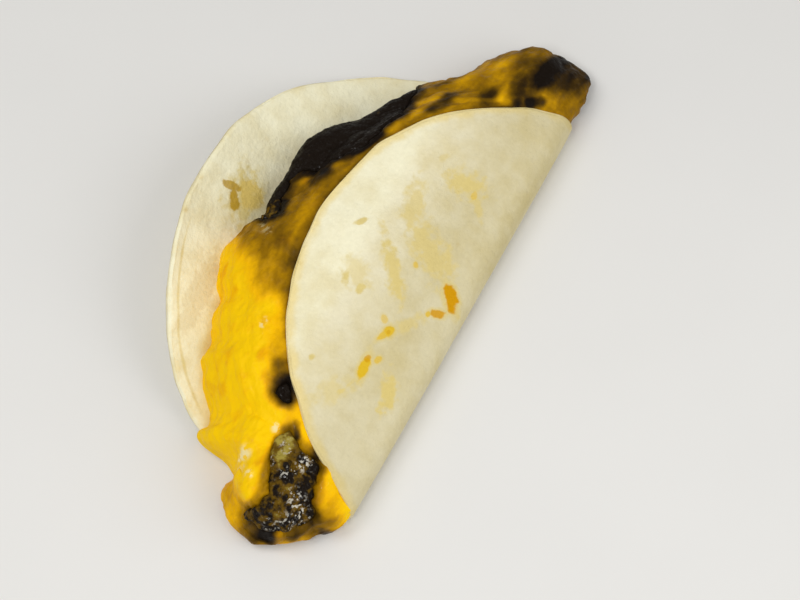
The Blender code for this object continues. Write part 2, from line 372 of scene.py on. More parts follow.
class Board:
    """The node tree of one material, with a Principled shader at its end."""

    def __init__(self, name: str, fixed: dict[str, float | Color]) -> None:
        """Make the material and set the shader's unchanging values.

        Args:
            name: The material's name.
            fixed: Values by the name of the Principled shader's socket.
        """
        self.material = bpy.data.materials.new(name)
        self.material.use_nodes = True
        self.tree = self.material.node_tree
        self.tree.nodes.clear()
        self.shader = self.tree.nodes.new("ShaderNodeBsdfPrincipled")
        output = self.tree.nodes.new("ShaderNodeOutputMaterial")
        self.tree.links.new(self.shader.outputs["BSDF"], output.inputs["Surface"])
        for label, value in fixed.items():
            self.shader.inputs[label].default_value = value

    def node(self, kind: str, settings: dict[str, object], inputs: dict, output: int | str = 0) -> Wire:
        """Add a node, set it up and feed it.

        Args:
            kind: The node's type.
            settings: Its properties, set before its sockets; a ramp's stops go under "stops".
            inputs: Values or wires by the socket's name or number.
            output: The socket to go on from.

        Returns:
            The wire that leaves that socket.
        """
        made = self.tree.nodes.new(kind)
        for label, value in settings.items():
            if label == "stops":
                self._set_stops(made.color_ramp, value)
            else:
                setattr(made, label, value)
        for label, value in inputs.items():
            if isinstance(value, Wire):
                self.tree.links.new(value.socket, made.inputs[label])
            else:
                made.inputs[label].default_value = value
        return Wire(self, made.outputs[output])

    @staticmethod
    def _set_stops(ramp: bpy.types.ColorRamp, stops: Sequence[tuple[float, Color]]) -> None:
        """Give a colour ramp its stops.

        Args:
            ramp: The ramp, with two stops or fewer than it gets.
            stops: A place from 0 to 1 and a colour for each.
        """
        while len(ramp.elements) < len(stops):
            ramp.elements.new(1.0)
        for element, (place, color) in zip(ramp.elements, stops):
            element.position = place
            element.color = (*color, 1.0)

    def feed(self, label: str, wire: Wire) -> None:
        """Link a wire to the shader's socket of this name."""
        self.tree.links.new(wire.socket, self.shader.inputs[label])

    def object_place(self) -> Wire:
        """The point's place on the piece, in metres."""
        return self.node("ShaderNodeTexCoord", {}, {}, "Object")

    def stored(self, label: str, output: str = "Fac") -> Wire:
        """A value stored at the mesh's points."""
        return self.node("ShaderNodeAttribute", {"attribute_name": label}, {}, output)

    def apart(self, vector: Wire) -> tuple[Wire, Wire, Wire]:
        """A vector's three numbers."""
        outputs = self.node("ShaderNodeSeparateXYZ", {}, {0: vector}).socket.node.outputs
        return Wire(self, outputs[0]), Wire(self, outputs[1]), Wire(self, outputs[2])

    def noise(self, place: Wire, size: float, detail: float = 3.0, roughness: float = 0.5) -> Wire:
        """Noise from 0 to 1 with features of this size in metres."""
        inputs = {"Vector": place, "Scale": 1.0 / size, "Detail": detail, "Roughness": roughness}
        return self.node("ShaderNodeTexNoise", {}, inputs)

    def stretched(self, place: Wire, scale: Place, turn: Place = (0.0, 0.0, 0.0)) -> Wire:
        """A place turned and then scaled along its axes, so that a pattern on it is drawn out.

        Args:
            place: The place.
            scale: Factor on each axis.
            turn: Turn about each axis, in radians.

        Returns:
            The new place's wire.
        """
        inputs = {"Vector": place, "Rotation": turn}
        turned = self.node("ShaderNodeVectorRotate", {"rotation_type": "EULER_XYZ"}, inputs)
        return self.node("ShaderNodeVectorMath", {"operation": "MULTIPLY"}, {0: turned, 1: scale})

    def mix(self, share: Wire | float, first: Wire | Color, second: Wire | Color) -> Wire:
        """Blend two colours.

        Args:
            share: 0 for the first colour and 1 for the second.
            first: The first colour.
            second: The second colour.

        Returns:
            The blend's wire.
        """
        inputs = {0: share}
        for label, color in ((6, first), (7, second)):
            inputs[label] = color if isinstance(color, Wire) else (*color, 1.0)
        return self.node("ShaderNodeMix", {"data_type": "RGBA"}, inputs, 2)

    def shade(self, color: Wire, grey: Wire) -> Wire:
        """A colour times a grey value.

        Args:
            color: The colour.
            grey: The value.

        Returns:
            The product's wire.
        """
        tint = self.node("ShaderNodeCombineColor", {}, dict.fromkeys(range(3), grey))
        settings = {"data_type": "RGBA", "blend_type": "MULTIPLY"}
        return self.node("ShaderNodeMix", settings, {0: 1.0, 6: color, 7: tint}, 2)

    def ramp(self, share: Wire, stops: Sequence[tuple[float, Color]]) -> Wire:
        """A colour read from stops at a share."""
        return self.node("ShaderNodeValToRGB", {"stops": stops}, {0: share})

    def bump(self, layers: Sequence[tuple[Wire, float]]) -> None:
        """Feed Normal from bump layers.

        Args:
            layers: For each, its height from 0 to 1 and its real depth in metres.
        """
        normal: dict = {}
        for height, depth in layers:
            inputs = {"Height": height, "Distance": depth, "Strength": 1.0, **normal}
            normal = {"Normal": self.node("ShaderNodeBump", {}, inputs)}
        self.feed("Normal", normal["Normal"])


def linear(red: int, green: int, blue: int) -> Color:
    """A colour on the screen's 0 to 255 scale as the light values that a shader takes."""
    shares = (channel / 255 for channel in (red, green, blue))
    return tuple(s / 12.92 if s <= 0.04045 else ((s + 0.055) / 1.055) ** 2.4 for s in shares)


class Tone(Enum):
    """Colours of the tortilla's marks."""

    PALE = linear(222, 201, 126)
    GREASE = linear(190, 152, 40)
    GOLD = linear(226, 186, 40)
    AMBER = linear(212, 153, 0)


@dataclass(frozen=True)
class Mark:
    """A ragged oval mark, in sheet millimetres; side is 1 inside the fold and -1 outside."""

    tone: Tone
    x: float
    along: float
    length: float
    width: float
    turn: float
    strength: float
    side: int = -1


MARKS: dict[Tone, tuple[tuple[float, ...], ...]] = {
    Tone.PALE: (
        (-5.0, -27.0, 13.0, 2.9, -0.735, 0.90), (15.5, -31.0, 11.0, 3.4, -0.33, 0.70),
        (6.5, -20.5, 13.0, 6.6, -1.08, 0.78), (31.8, -20.5, 7.6, 5.4, 1.50, 0.85),
        (27.2, -14.2, 5.4, 1.4, -0.74, 0.65), (34.5, -30.4, 2.4, 1.3, 0.30, 0.50),
        (-11.5, -34.8, 7.4, 4.0, -0.70, 0.50), (-16.8, -15.2, 7.6, 2.5, 0.68, 0.65),
        (-37.2, -10.2, 7.2, 3.3, -0.43, 1.00), (-44.4, -21.7, 2.2, 1.3, 0.40, 0.90),
        (-41.0, -20.7, 3.8, 0.7, 0.35, 0.60), (-46.0, -24.0, 8.0, 4.0, 0.60, 0.50),
        (0.0, 80.0, 11.0, 7.0, 0.4, 0.85, 1), (-14.6, -37.4, 2.6, 1.8, -0.79, 0.90),
        (-15.3, -31.9, 2.4, 1.6, 0.2, 0.90), (3.0, -41.3, 2.2, 0.9, 0.60, 0.90),
        (-41.0, -33.7, 1.4, 1.0, 0.4, 0.90),
    ),
    Tone.GOLD: (
        (1.5, 78.4, 6.0, 4.4, 0.9, 0.42, 1), (-35.0, -19.8, 4.3, 1.6, -0.21, 1.00),
        (-31.0, -17.5, 1.6, 1.0, 0.50, 0.70), (-21.6, -18.7, 2.2, 1.6, 0.30, 0.95),
        (-23.6, -19.6, 2.8, 1.0, 0.37, 0.80), (-19.3, -21.8, 1.6, 1.0, -0.79, 0.50),
        (-9.9, -11.4, 1.0, 0.8, 0.0, 0.80), (0.0, -21.8, 1.2, 0.9, -0.50, 0.65),
        (30.4, -17.1, 1.5, 1.1, 0.0, 0.50),
    ),
    Tone.GREASE: (
        (-0.2, 85.2, 4.4, 1.5, -1.27, 0.85, 1), (-2.6, 82.3, 4.2, 1.9, 0.675, 0.95, 1),
        (-34.0, 76.0, 16.0, 4.5, 0.1, 0.20, 1),
    ),
    Tone.AMBER: (
        (-1.6, -8.2, 4.9, 2.2, -0.75, 1.00), (-8.0, -8.9, 2.7, 1.4, 1.06, 0.90),
        (-32.3, -20.3, 1.5, 1.1, 0.2, 0.70), (-22.0, -18.8, 0.9, 0.7, 0.2, 0.45),
    ),
}


@dataclass(frozen=True)
class TortillaFinish:
    """Soft floury wheat dough: cream, mottled, warmer at the rim, with toasted and oily marks, painted
    light and painted shade.
    """

    flour: Color = linear(237, 229, 197)
    # Painted light: paler dough for the lower flap's inner face and the upper flap's rim side, standing
    # in for light.
    painted_light_lining: Color = linear(250, 245, 213)
    # Soaked-in grease colour, also used for the painted shadow line inside the rim.
    soak_and_shadow: Color = linear(216, 192, 104)
    dough: Color = linear(222, 207, 155)
    rim: Color = linear(240, 218, 148)
    # Painted shade: a darker dough colour laid where shade falls toward the fold.
    painted_fold_shade: Color = linear(188, 173, 120)
    freckle: Color = linear(206, 176, 104)
    scorch: Color = linear(176, 138, 74)
    marks: tuple[Mark, ...] = tuple(Mark(tone, *row) for tone, rows in MARKS.items() for row in rows)

    def mark_shares(self, board: Board, sheet: Wire, ragged: Wire) -> dict[Tone, Wire]:
        """How strongly each tone marks a point: the largest of its ragged ovals.

        Args:
            board: The material's board.
            sheet: The point's X, distance along and side.
            ragged: Noise from 0 to 1 that frays the ovals.

        Returns:
            A share for each tone: 1 where the offset, turned and divided by the oval's half sizes,
            is shorter than 1 less the noise. Gold and amber ovals lie in a pale ring.
        """
        x, along, side = board.apart(sheet)
        shares: dict[Tone, Wire] = {}
        for mark in self.marks:
            aside, ahead = x - mark.x, along - mark.along
            first = (aside * cos(mark.turn) + ahead * sin(mark.turn)) / mark.length
            second = (ahead * cos(mark.turn) - aside * sin(mark.turn)) / mark.width
            pale = mark.tone is Tone.PALE
            fray = 2.0 if pale else 1.2
            reach = (first * first + second * second) ** 0.5 + ragged * fray - fray / 2
            here = (side * mark.side).rise(-0.2, 0.6) * mark.strength
            edge = reach.rise(0.40, 1.15) if pale else reach.rise(0.72, 1.05)
            parts = {mark.tone: (1 - edge) * here}
            if mark.tone in (Tone.GOLD, Tone.AMBER):
                parts[Tone.PALE] = (1 - reach.rise(0.9, 1.7)) * here * 0.8
            for tone, share in parts.items():
                shares[tone] = shares[tone].above(share) if tone in shares else share
        return shares

    def material(self) -> bpy.types.Material:
        """Build the material.

        Returns:
            The material.
        """
        board = Board("wheat_dough", {"Roughness": 0.72, "Specular IOR Level": 0.12})
        place = board.object_place()
        sheet = board.stored("sheet", "Vector")
        cloud, patch = board.noise(place, 0.020), board.noise(place, 0.006, 4.0)
        grain, pores = board.noise(place, 0.0012, 3.0), board.noise(place, 0.0004, 2.0)
        # Painted light: the pale share lightens the inner face and the upper flap near its rim.
        flour = board.mix(board.stored("pale"), self.flour, self.painted_light_lining)
        mottled = (cloud * 0.6 + patch * 0.5).rise(0.40, 0.76) * (0.74 - board.stored("pale") * 0.19)
        color = board.mix(mottled, flour, self.dough)
        rim = board.stored("rim") + (patch - 0.5) * 0.9
        color = board.mix(rim.rise(0.40, 1.0) * 0.8, color, self.rim)
        # Grease soaked in beside the filling, and a painted shadow line inside the near rim.
        shadow = board.stored("greasy_and_shaded") + (patch - 0.5) * 0.8
        color = board.mix(shadow.rise(0.35, 1.1) * 0.62, color, self.soak_and_shadow)
        spots = board.node("ShaderNodeTexVoronoi", {}, {"Vector": place, "Scale": 130.0})
        gathered = (cloud * 0.5 + patch * 0.5).rise(0.50, 0.62)
        freckles = (1 - (spots + grain * 0.25).rise(0.12, 0.30)) * gathered
        color = board.mix(freckles * 0.45, color, self.freckle)
        # Painted shade toward the fold and over the upper flap's lower part.
        color = board.mix(board.stored("painted_fold_shade") * (0.46 + patch * 0.4), color, self.painted_fold_shade)
        scorched = board.noise(place, 0.011, 5.0, 0.6).rise(0.60, 0.74) * board.stored("under")
        color = board.mix(scorched * 0.75, color, self.scorch)
        for tone, share in self.mark_shares(board, sheet, board.noise(sheet, 2.6, 3.0)).items():
            color = board.mix(share, color, tone.value)
        color = board.shade(color, 0.94 + grain * 0.12)
        board.feed("Base Color", color)
        board.feed("Roughness", 0.60 + patch * 0.25)
        board.bump(((patch, 0.0006), (grain, 0.00025), (pores, 0.00008)))
        return board.material


@dataclass(frozen=True)
class CheeseFinish:
    """Melted yellow cheese: glossy, streaked, turning amber and olive where it thins over beans, darker
    where shade is painted, with painted glint specks.
    """

    stops: tuple[tuple[float, Color], ...] = (
        (0.00, linear(255, 207, 6)),
        (0.20, linear(249, 189, 4)),
        (0.40, linear(196, 145, 6)),
        (0.55, linear(150, 109, 5)),
        (0.70, linear(104, 75, 7)),
        (0.85, linear(60, 42, 9)),
        (1.00, linear(24, 17, 11)),
    )
    orange: Color = linear(226, 142, 4)
    # Painted highlight: the colour of the glint specks.
    painted_glint: Color = linear(250, 236, 176)

    def material(self) -> bpy.types.Material:
        """Build the material.

        Returns:
            The material.
        """
        fixed = {"Specular IOR Level": 0.05, "Coat Roughness": 0.12, "Coat IOR": 1.5}
        board = Board("melted_cheese", fixed)
        place = board.object_place()
        drawn = board.stretched(place, (0.3, 1.0, 1.0), (0.0, 0.0, 0.25))
        streak, blot = board.noise(drawn, 0.0035, 4.0), board.noise(place, 0.006, 4.0)
        fine, film = board.noise(place, 0.0012, 3.0), board.noise(place, 0.0030, 3.0)
        smear = board.stored("smear") + (streak - 0.5) * 0.24 + (blot - 0.5) * 0.24
        smear = smear + (fine - 0.5) * 0.12
        color = board.ramp(smear, self.stops)
        rusty = (blot * 0.6 + streak * 0.4).rise(0.52, 0.72) * 0.45
        color = board.mix(rusty * (1 - smear.rise(0.3, 0.8)), color, self.orange)
        # Painted highlights: pale glint specks where the stored glint share is high; that share also
        # raises the coat.
        gloss_and_glint, speck = board.stored("gloss_and_glint"), board.noise(place, 0.0016, 2.0)
        color = board.mix(gloss_and_glint * speck.rise(0.48, 0.56) * 0.8, color, self.painted_glint)
        board.feed("Base Color", color)
        board.feed("Roughness", 0.28 + film * 0.30)
        board.feed("Coat Weight", (film.rise(0.55, 0.75) * 0.15).above(gloss_and_glint))
        board.bump(((streak, 0.0005), (film, 0.0004), (fine, 0.0002)))
        return board.material


@dataclass(frozen=True)
class BeanFinish:
    """Soft black beans, partly mashed: near black and glossy, with olive and brown smeared patches and
    painted glint specks.
    """

    skin: Color = linear(26, 19, 13)
    mash: Color = linear(102, 76, 14)
    olive: Color = linear(170, 153, 68)
    # Painted highlight: the colour of the glint specks.
    painted_glint: Color = linear(222, 217, 202)

    def material(self) -> bpy.types.Material:
        """Build the material.

        Returns:
            The material.
        """
        fixed = {"Specular IOR Level": 0.05, "Coat Roughness": 0.07, "Coat IOR": 1.6}
        board = Board("black_beans", fixed)
        place = board.object_place()
        blot, patch = board.noise(place, 0.005, 4.0), board.noise(place, 0.0022, 4.0)
        fine, speck = board.noise(place, 0.0008, 3.0), board.noise(place, 0.0012, 3.0)
        gloss_and_glint = board.stored("gloss_and_glint")
        smear = board.stored("olive") + (blot - 0.5) * 0.8 + (patch - 0.5) * 1.5
        color = board.mix(smear.rise(0.30, 0.62), self.skin, self.mash)
        color = board.mix(smear.rise(0.62, 1.0) * 0.9, color, self.olive)
        # Painted highlights: pale glint specks in the glinting bands.
        color = board.mix((speck + gloss_and_glint * 0.06).rise(0.59, 0.66) * gloss_and_glint * 0.8, color, self.painted_glint)
        board.feed("Base Color", color)
        board.feed("Roughness", 0.30 + patch * 0.30)
        board.feed("Coat Weight", (fine + gloss_and_glint * 0.06).rise(0.58, 0.64) * (0.30 + gloss_and_glint * 0.70))
        board.bump(((blot, 0.0008), (patch, 0.0007), (fine, 0.0003)))
        return board.material


@dataclass(frozen=True)
class FloorFinish:
    """A matt pale table top with a faint cloud in it."""

    light: Color = linear(236, 235, 232)
    dark: Color = linear(230, 229, 226)

    def material(self) -> bpy.types.Material:
        """Build the material.

        Returns:
            The material.
        """
        board = Board("pale_table", {"Specular IOR Level": 0.2})
        cloud = board.noise(board.object_place(), 0.08, 4.0)
        board.feed("Base Color", board.mix(cloud, self.light, self.dark))
        board.feed("Roughness", 0.75 + cloud * 0.1)
        return board.material


# ---------------------------------------------------------------------------------------------
# Shapes that the pieces share
# ---------------------------------------------------------------------------------------------


@dataclass(frozen=True)
class Band:
    """A soft band between two places, seen from above."""

    start: tuple[float, float]
    end: tuple[float, float]
    radius: float
    strength: float = 1.0

    def share(self, points: Array) -> Array:
        """Strength near the band's line, fading as exp(-(distance / radius)^3) across it.

        Args:
            points: Points on the last axis; their Z doesn't count.

        Returns:
            One share for each point.
        """
        line = np.array(self.end) - self.start
        offset = points[..., :2] - np.array(self.start)
        along = np.clip(offset @ line / max(line @ line, 1e-12), 0, 1)
        distance = np.linalg.norm(offset - along[..., None] * line, axis=-1)
        return self.strength * np.exp(-((distance / self.radius) ** 3))


def strongest(bands: Sequence[Band], points: Array) -> Array:
    """The largest share that any of the bands has at each point."""
    return np.max([band.share(points) for band in bands], axis=0)


def bands(*rows: tuple[float, ...]) -> tuple[Band, ...]:
    """Bands from rows of X and Y of both ends and the radius, in millimetres, and the strength."""
    sizes = [[value / 1000 for value in row[:5]] for row in rows]
    return tuple(Band((a, b), (c, d), e, row[5]) for (a, b, c, d, e), row in zip(sizes, rows))


@dataclass(frozen=True)
class Patch:
    """A closed outline drawn on a level plane and carried up and down from it along a slant."""

    outline: tuple[tuple[float, float], ...]
    height: float
    slant: tuple[float, float]

    def inset(self, points: Array) -> Array:
        """Distance to the outline's nearest edge, measured on the outline's plane.

        Args:
            points: Points on the last axis.

        Returns:
            One distance for each point, positive inside, where a line out crosses an odd number of
            edges.
        """
        plan = points[..., :2] + (points[..., 2:] - self.height) * np.array(self.slant)
        x, y = plan[..., 0], plan[..., 1]
        nearest = np.full(x.shape, np.inf)
        odd = np.zeros(x.shape, bool)
        corners = np.array(self.outline)
        for first, last in zip(corners, np.roll(corners, -1, axis=0)):
            line, offset = last - first, plan - first
            share = np.clip(offset @ line / (line @ line), 0, 1)[..., None]
            nearest = np.minimum(nearest, np.linalg.norm(offset - share * line, axis=-1))
            if line[1]:
                crossed = (first[1] > y) != (last[1] > y)
                odd ^= crossed & (x < first[0] + offset[..., 1] * line[0] / line[1])
        return np.where(odd, nearest, -nearest)

    def share(self, points: Array, soft: float) -> Array:
        """0 outside and 1 inside, rising across a soft edge of this width."""
        return smooth_step(0.5 + self.inset(points) / soft)


def traced(height: float, slant: tuple[float, float], corners: Sequence[tuple[float, float]]) -> Patch:
    """A patch from its height and its outline's corners in millimetres."""
    return Patch(tuple((x / 1000, y / 1000) for x, y in corners), height / 1000, slant)


@dataclass(frozen=True)
class FoldedSheet:
    """The folded tortilla's middle layer. Along runs from the fold line, negative on the upper flap."""

    radius: float = 0.075
    thickness: float = 0.0026
    middle_along: float = 0.0213
    fold_radius: float = 0.0058
    upper_slope: float = radians(30.0)
    upper_rim_slope: float = radians(8.5)
    flat_length: float = 0.0318
    curl_radius: float = 0.060
    curl_growth: float = 0.41
    swell_height: float = 0.0008
    swell_rise: float = 0.016

    def ends(self) -> tuple[float, float]:
        """Along at the upper and at the lower flap's rim, in the sheet's middle."""
        return self.middle_along - self.radius, self.middle_along + self.radius

    def upper_flap(self, length: Array) -> tuple[Array, Array, Array]:
        """The upper flap: round the fold, then up to the rim ever flatter.

        Args:
            length: Distance from the fold line along the flap.

        Returns:
            Y, Z and slope there.
        """
        fold = self.fold_radius * (pi / 2 - self.upper_slope)
        rest = self.radius - self.middle_along - fold
        turned = even_bend(np.minimum(length, fold), -1 / self.fold_radius, pi / 2)
        flatter = (self.upper_rim_slope - self.upper_slope) / rest
        risen = even_bend(np.maximum(length - fold, 0.0), flatter, turned[2])
        return turned[0] + risen[0], turned[1] + risen[1], risen[2] - pi

    def lower_flap(self, length: Array, x: Array) -> tuple[Array, Array, Array]:
        """The lower flap: round the fold, flat on the table, then curling up.

        Args:
            length: Distance from the fold line along the flap.
            x: X, with which the curl's radius grows.

        Returns:
            Y, Z and slope there.
        """
        fold = self.fold_radius * pi / 2
        turned = even_bend(np.minimum(length, fold), 1 / self.fold_radius, -pi / 2)
        flat = np.clip(length - fold, 0.0, self.flat_length)
        curl = self.curl_radius * (1 + self.curl_growth * x / self.radius)
        curled = even_bend(np.maximum(length - fold - self.flat_length, 0.0), 1 / curl, turned[2])
        return turned[0] + flat + curled[0], turned[1] + curled[1], curled[2]

    def off_table(self, along: Array) -> Array:
        """0 where the sheet lies on the table, rising to 1 away from there."""
        flat_middle = self.fold_radius * pi / 2 + self.flat_length / 2
        return smooth_step((np.abs(along - flat_middle) - 0.7 * self.flat_length) / self.swell_rise)

    def swell(self, x: Array, along: Array) -> Array:
        """The sheet's soft waves: three sines that fade out towards the table.

        Args:
            x: X on the sheet.
            along: Distance along.

        Returns:
            Height in metres.
        """
        waves = np.sin(95 * x + 60 * along + 0.6) + np.sin(150 * x - 85 * along + 2.1)
        waves += 0.7 * np.sin(48 * x + 190 * along + 4.0)
        return 0.4 * self.swell_height * waves * self.off_table(along)

    def points(self, x: Array, along: Array, lift: Array | float = 0.0) -> Array:
        """Points of the sheet.

        Args:
            x: X on the sheet.
            along: Distance along.
            lift: Distance off the middle layer, towards the filling.

        Returns:
            Points in the maker's frame.
        """
        x, along, lift = np.broadcast_arrays(x, along, lift)
        upper = self.upper_flap(np.maximum(-along, 0.0))
        lower = self.lower_flap(np.maximum(along, 0.0), x)
        y, z, slope = np.where(along < 0, upper, lower)
        lift = lift + self.swell(x, along)
        y = y + self.thickness / 2 - lift * np.sin(slope)
        z = z + self.fold_radius + self.thickness / 2 + lift * np.cos(slope)
        return np.stack([x, y, z], axis=-1)


@dataclass(frozen=True)
class BeanLog:
    """The beans' long heap: sections of X, Y, Z, half width and half height, tilted up to the mouth."""

    sections: tuple[tuple[float, ...], ...] = (
        (-0.078, 0.0205, 0.0112, 0.0120, 0.0100),
        (-0.070, 0.0220, 0.0112, 0.0125, 0.0092),
        (-0.062, 0.0255, 0.0110, 0.0150, 0.0060),
        (-0.030, 0.0335, 0.0121, 0.0230, 0.0078),
        (0.000, 0.0380, 0.0128, 0.0268, 0.0085),
        (0.020, 0.0375, 0.0127, 0.0268, 0.0085),
        (0.040, 0.0320, 0.0119, 0.0250, 0.0083),
        (0.056, 0.0255, 0.0110, 0.0215, 0.0080),
        (0.075, 0.0175, 0.0102, 0.0138, 0.0084),
    )
    half_length: float = 0.0905
    body: float = 0.066
    tilt: float = tan(radians(8.4))

    def section(self, x: Array) -> tuple[Array, Array, Array, Array]:
        """A section of the heap: smooth curves through the table's rows, shrunk at both ends.

        Args:
            x: Where it is cut.

        Returns:
            Y and Z of its middle, its half width and its half height.
        """
        at, across, up, half_width, half_height = np.array(self.sections).T
        held = np.clip(x, at[0], at[-1])
        share = end_share(x, self.body, self.half_length)
        middle = smooth_through(held, at, across), smooth_through(held, at, up)
        width, height = (smooth_through(held, at, half) * share for half in (half_width, half_height))
        return *middle, width, height

    def swollen(self, points: Array, free: Array) -> Array:
        """Points inside the heap, moved out to its tilted oval skin along the line from its middle.

        Args:
            points: Points on the last axis.
            free: 1 where a point may move and 0 where it may not.

        Returns:
            The points; those outside the heap stay where they are.
        """
        middle_y, middle_z, width, height = self.section(points[..., 0])
        aside = points[..., 1] - middle_y
        rise = points[..., 2] - middle_z - self.tilt * aside
        share = np.hypot(aside / np.maximum(width, 1e-4), rise / np.maximum(height, 1e-4))
        growth = 1 + (1 / np.clip(share, 0.35, 1.0) - 1) * free
        y = middle_y + aside * growth
        z = middle_z + (rise + self.tilt * aside) * growth
        return np.stack([points[..., 0], y, z], axis=-1)


NEAR_POCKET = traced(12.0, (0.330, 0.239), (
    (-60.4, 28.4), (-59.0, 27.0), (-60.0, 24.0), (-62.2, 20.3), (-62.7, 16.5), (-64.6, 13.9),
    (-67.6, 12.9), (-70.3, 12.5), (-73.2, 11.4), (-75.9, 10.1), (-77.5, 8.4), (-80.0, 8.4),
    (-83.0, 10.0), (-85.5, 12.1), (-87.5, 14.8), (-88.5, 17.5), (-88.8, 20.7), (-88.2, 23.4),
    (-86.6, 25.6), (-84.3, 25.6), (-82.3, 23.8), (-78.6, 23.6), (-74.8, 25.1), (-70.7, 26.3),
    (-66.7, 28.5), (-62.9, 29.3),
))
FAR_BAND = traced(20.0, (0.541, 0.310), (
    (-6.0, 63.9), (-2.6, 61.7), (3.8, 62.8), (9.2, 63.4), (13.0, 62.2), (14.8, 59.1),
    (16.9, 57.2), (20.3, 56.2), (22.6, 54.5), (26.7, 51.9), (30.3, 49.0), (34.0, 48.8),
    (38.5, 47.9), (41.7, 46.7), (44.7, 45.3), (48.1, 44.9), (51.4, 44.7), (54.2, 44.8),
    (56.0, 46.0), (60.0, 56.0), (50.0, 72.0), (30.0, 90.0), (-5.0, 90.0), (-9.0, 70.0),
))
HOLE = traced(22.5, (0.383, 0.271), (
    (-54.3, 33.2), (-52.3, 33.0), (-50.0, 31.8), (-52.0, 30.3), (-54.2, 29.0), (-55.0, 31.0),
))
FILM = traced(12.0, (0.324, 0.262), (
    (-76.0, 37.0), (-77.8, 34.0), (-80.3, 31.2), (-82.4, 28.3), (-83.3, 26.5), (-85.0, 25.5),
    (-87.0, 25.0), (-89.0, 23.2), (-89.7, 20.9), (-89.2, 17.2), (-88.0, 14.0), (-85.6, 11.2),
    (-83.2, 9.2), (-80.0, 8.0), (-79.0, 0.0), (-90.0, -10.0), (-110.0, 0.0), (-110.0, 30.0),
    (-100.0, 45.0), (-80.0, 50.0),
))


@dataclass(frozen=True)
class Filling:
    """The filling's whole skin: over the lower flap, up the free face and under the upper flap."""

    sheet: FoldedSheet = FoldedSheet()
    log: BeanLog = BeanLog()
    lobes: tuple[tuple[Place, float, Place], ...] = (
        ((-0.0710, 0.0460, 0.0070), 0.0050, (-0.0012, 0.0008, 0.0000)),
        ((0.0240, 0.0640, 0.0160), 0.0110, (0.0012, 0.0028, 0.0010)),
        ((0.0010, 0.0640, 0.0160), 0.0080, (0.0000, 0.0014, 0.0008)),
        ((0.0400, 0.0560, 0.0160), 0.0080, (-0.0005, -0.0014, -0.0004)),
    )
    bare_patches: tuple[Patch, ...] = (NEAR_POCKET, FAR_BAND, HOLE)
    deepest: float = 0.0022
    deepest_share: float = 0.22
    hole_depth: float = 0.0022
    hole_soft: float = 0.0050
    film_share: float = 0.36
    film_soft: float = 0.0020
    fray: float = 0.0008
    fray_size: float = 0.0032
    lip: float = 0.0016
    body: float = 0.062
    reach: float = 0.0505
    plan_length: float = 0.080
    tuck: float = 0.0022
    bulge: float = 0.40
    retreat: float = 0.0052
    retreat_starts: tuple[float, float] = (-0.006, 0.050)
    retreat_length: float = 0.013
    meeting: Place = (0.0, -0.30, 0.95)
    near_tip: tuple[float, float] = (0.0215, 0.0052)
    near_outline: tuple[Place, ...] = (
        (0.062, 1.00, 1.00), (0.066, 1.00, 0.93), (0.0685, 1.01, 0.97), (0.0705, 1.02, 0.88),
        (0.072, 1.00, 0.66), (0.074, 0.97, 0.52), (0.0755, 0.93, 0.475), (0.078, 0.80, 0.52),
        (0.080, 0.72, 0.51), (0.084, 0.55, 0.44), (0.086, 0.41, 0.39), (0.088, 0.25, 0.29),
        (0.0895, 0.10, 0.12), (0.0904, 0.00, 0.00),
    )
    far_tip: tuple[float, float] = (0.0125, 0.0052)
    far_outline: tuple[Place, ...] = (
        (0.062, 1.00, 1.00), (0.066, 1.00, 0.84), (0.071, 1.00, 0.72), (0.077, 1.00, 0.65),
        (0.082, 1.00, 0.56), (0.086, 0.98, 0.46), (0.089, 0.90, 0.28), (0.0915, 0.58, 0.15),
        (0.0928, 0.00, 0.00),
    )
    spread: tuple[tuple[float, float], ...] = (
        (-0.0630, 0.0006), (-0.0600, 0.0015), (-0.0585, 0.0022), (-0.0530, 0.0029),
        (-0.0500, 0.0040), (-0.0470, 0.0026), (-0.0440, 0.0013), (-0.0400, 0.0019),
        (-0.0350, 0.0021), (-0.0310, 0.0015), (-0.0287, 0.0035), (-0.0230, 0.0053),
        (-0.0180, 0.0059), (-0.0124, 0.0038), (-0.0070, 0.0021), (-0.0030, -0.0004),
        (0.0000, 0.0000),
    )
    held_until: float = 0.060
    held_fade: float = 0.008
    margin: float = 3.0
    bare_margin: float = 9.0
    bare_rise: float = 0.002
    even_from: float = 0.082
    even_fade: float = 0.004
    even_reach: int = 5
    jag: float = 0.0006
    jag_size: float = 0.0042
    jag_reach: float = 7.0
    drawn_out: float = 0.28
    tip_crowd: float = 4.0
    tip_length: float = 0.0012
    lower_points: int = 26
    free_points: int = 140
    upper_points: int = 66
    seed: int = 5

    def sections(self, x: Array) -> Array:
        """Closed sections of the filling inside the fold, by X and place round the section.

        Args:
            x: X of the sections.

        Returns:
            Points: along the lower flap to a jagged edge, over the free face, which is a cubic
            Bezier curve that leaves the upper flap along its slope, and back along the upper flap.
        """
        at = np.clip(x, -self.body, self.body)
        rim = self.sheet.middle_along - np.sqrt(self.sheet.radius**2 - at**2) + self.tuck
        edge = self.sheet.middle_along + self.reach * np.sqrt(1 - (at / self.plan_length) ** 2)
        starts = [smooth_step((at - start) / self.retreat_length) for start in self.retreat_starts]
        edge = edge - self.retreat * (starts[0] - starts[1])
        edge = edge + smooth_through(at, *np.array(self.spread).T)
        lower = self.sheet.points(at, edge * np.linspace(0, 1, self.lower_points)[:, None] ** 0.8)
        upper = self.sheet.points(at, rim * np.linspace(0, 1, self.upper_points)[1:, None])
        free = self.free_face(upper[-1], upper[-2], lower[-1])
        line = np.stack([x, 0 * x, 0 * x], axis=-1)
        jagged = edge + self.jag * layered_noise(line, self.jag_size, self.seed)
        ragged = self.sheet.points(at, jagged) - lower[-1]
        rings = np.concatenate([lower, free, upper[::-1]])
        past = (np.arange(len(rings)) - self.lower_points + 1) / self.jag_reach
        return (rings + bell(past)[:, None, None] * ragged).transpose(1, 0, 2)

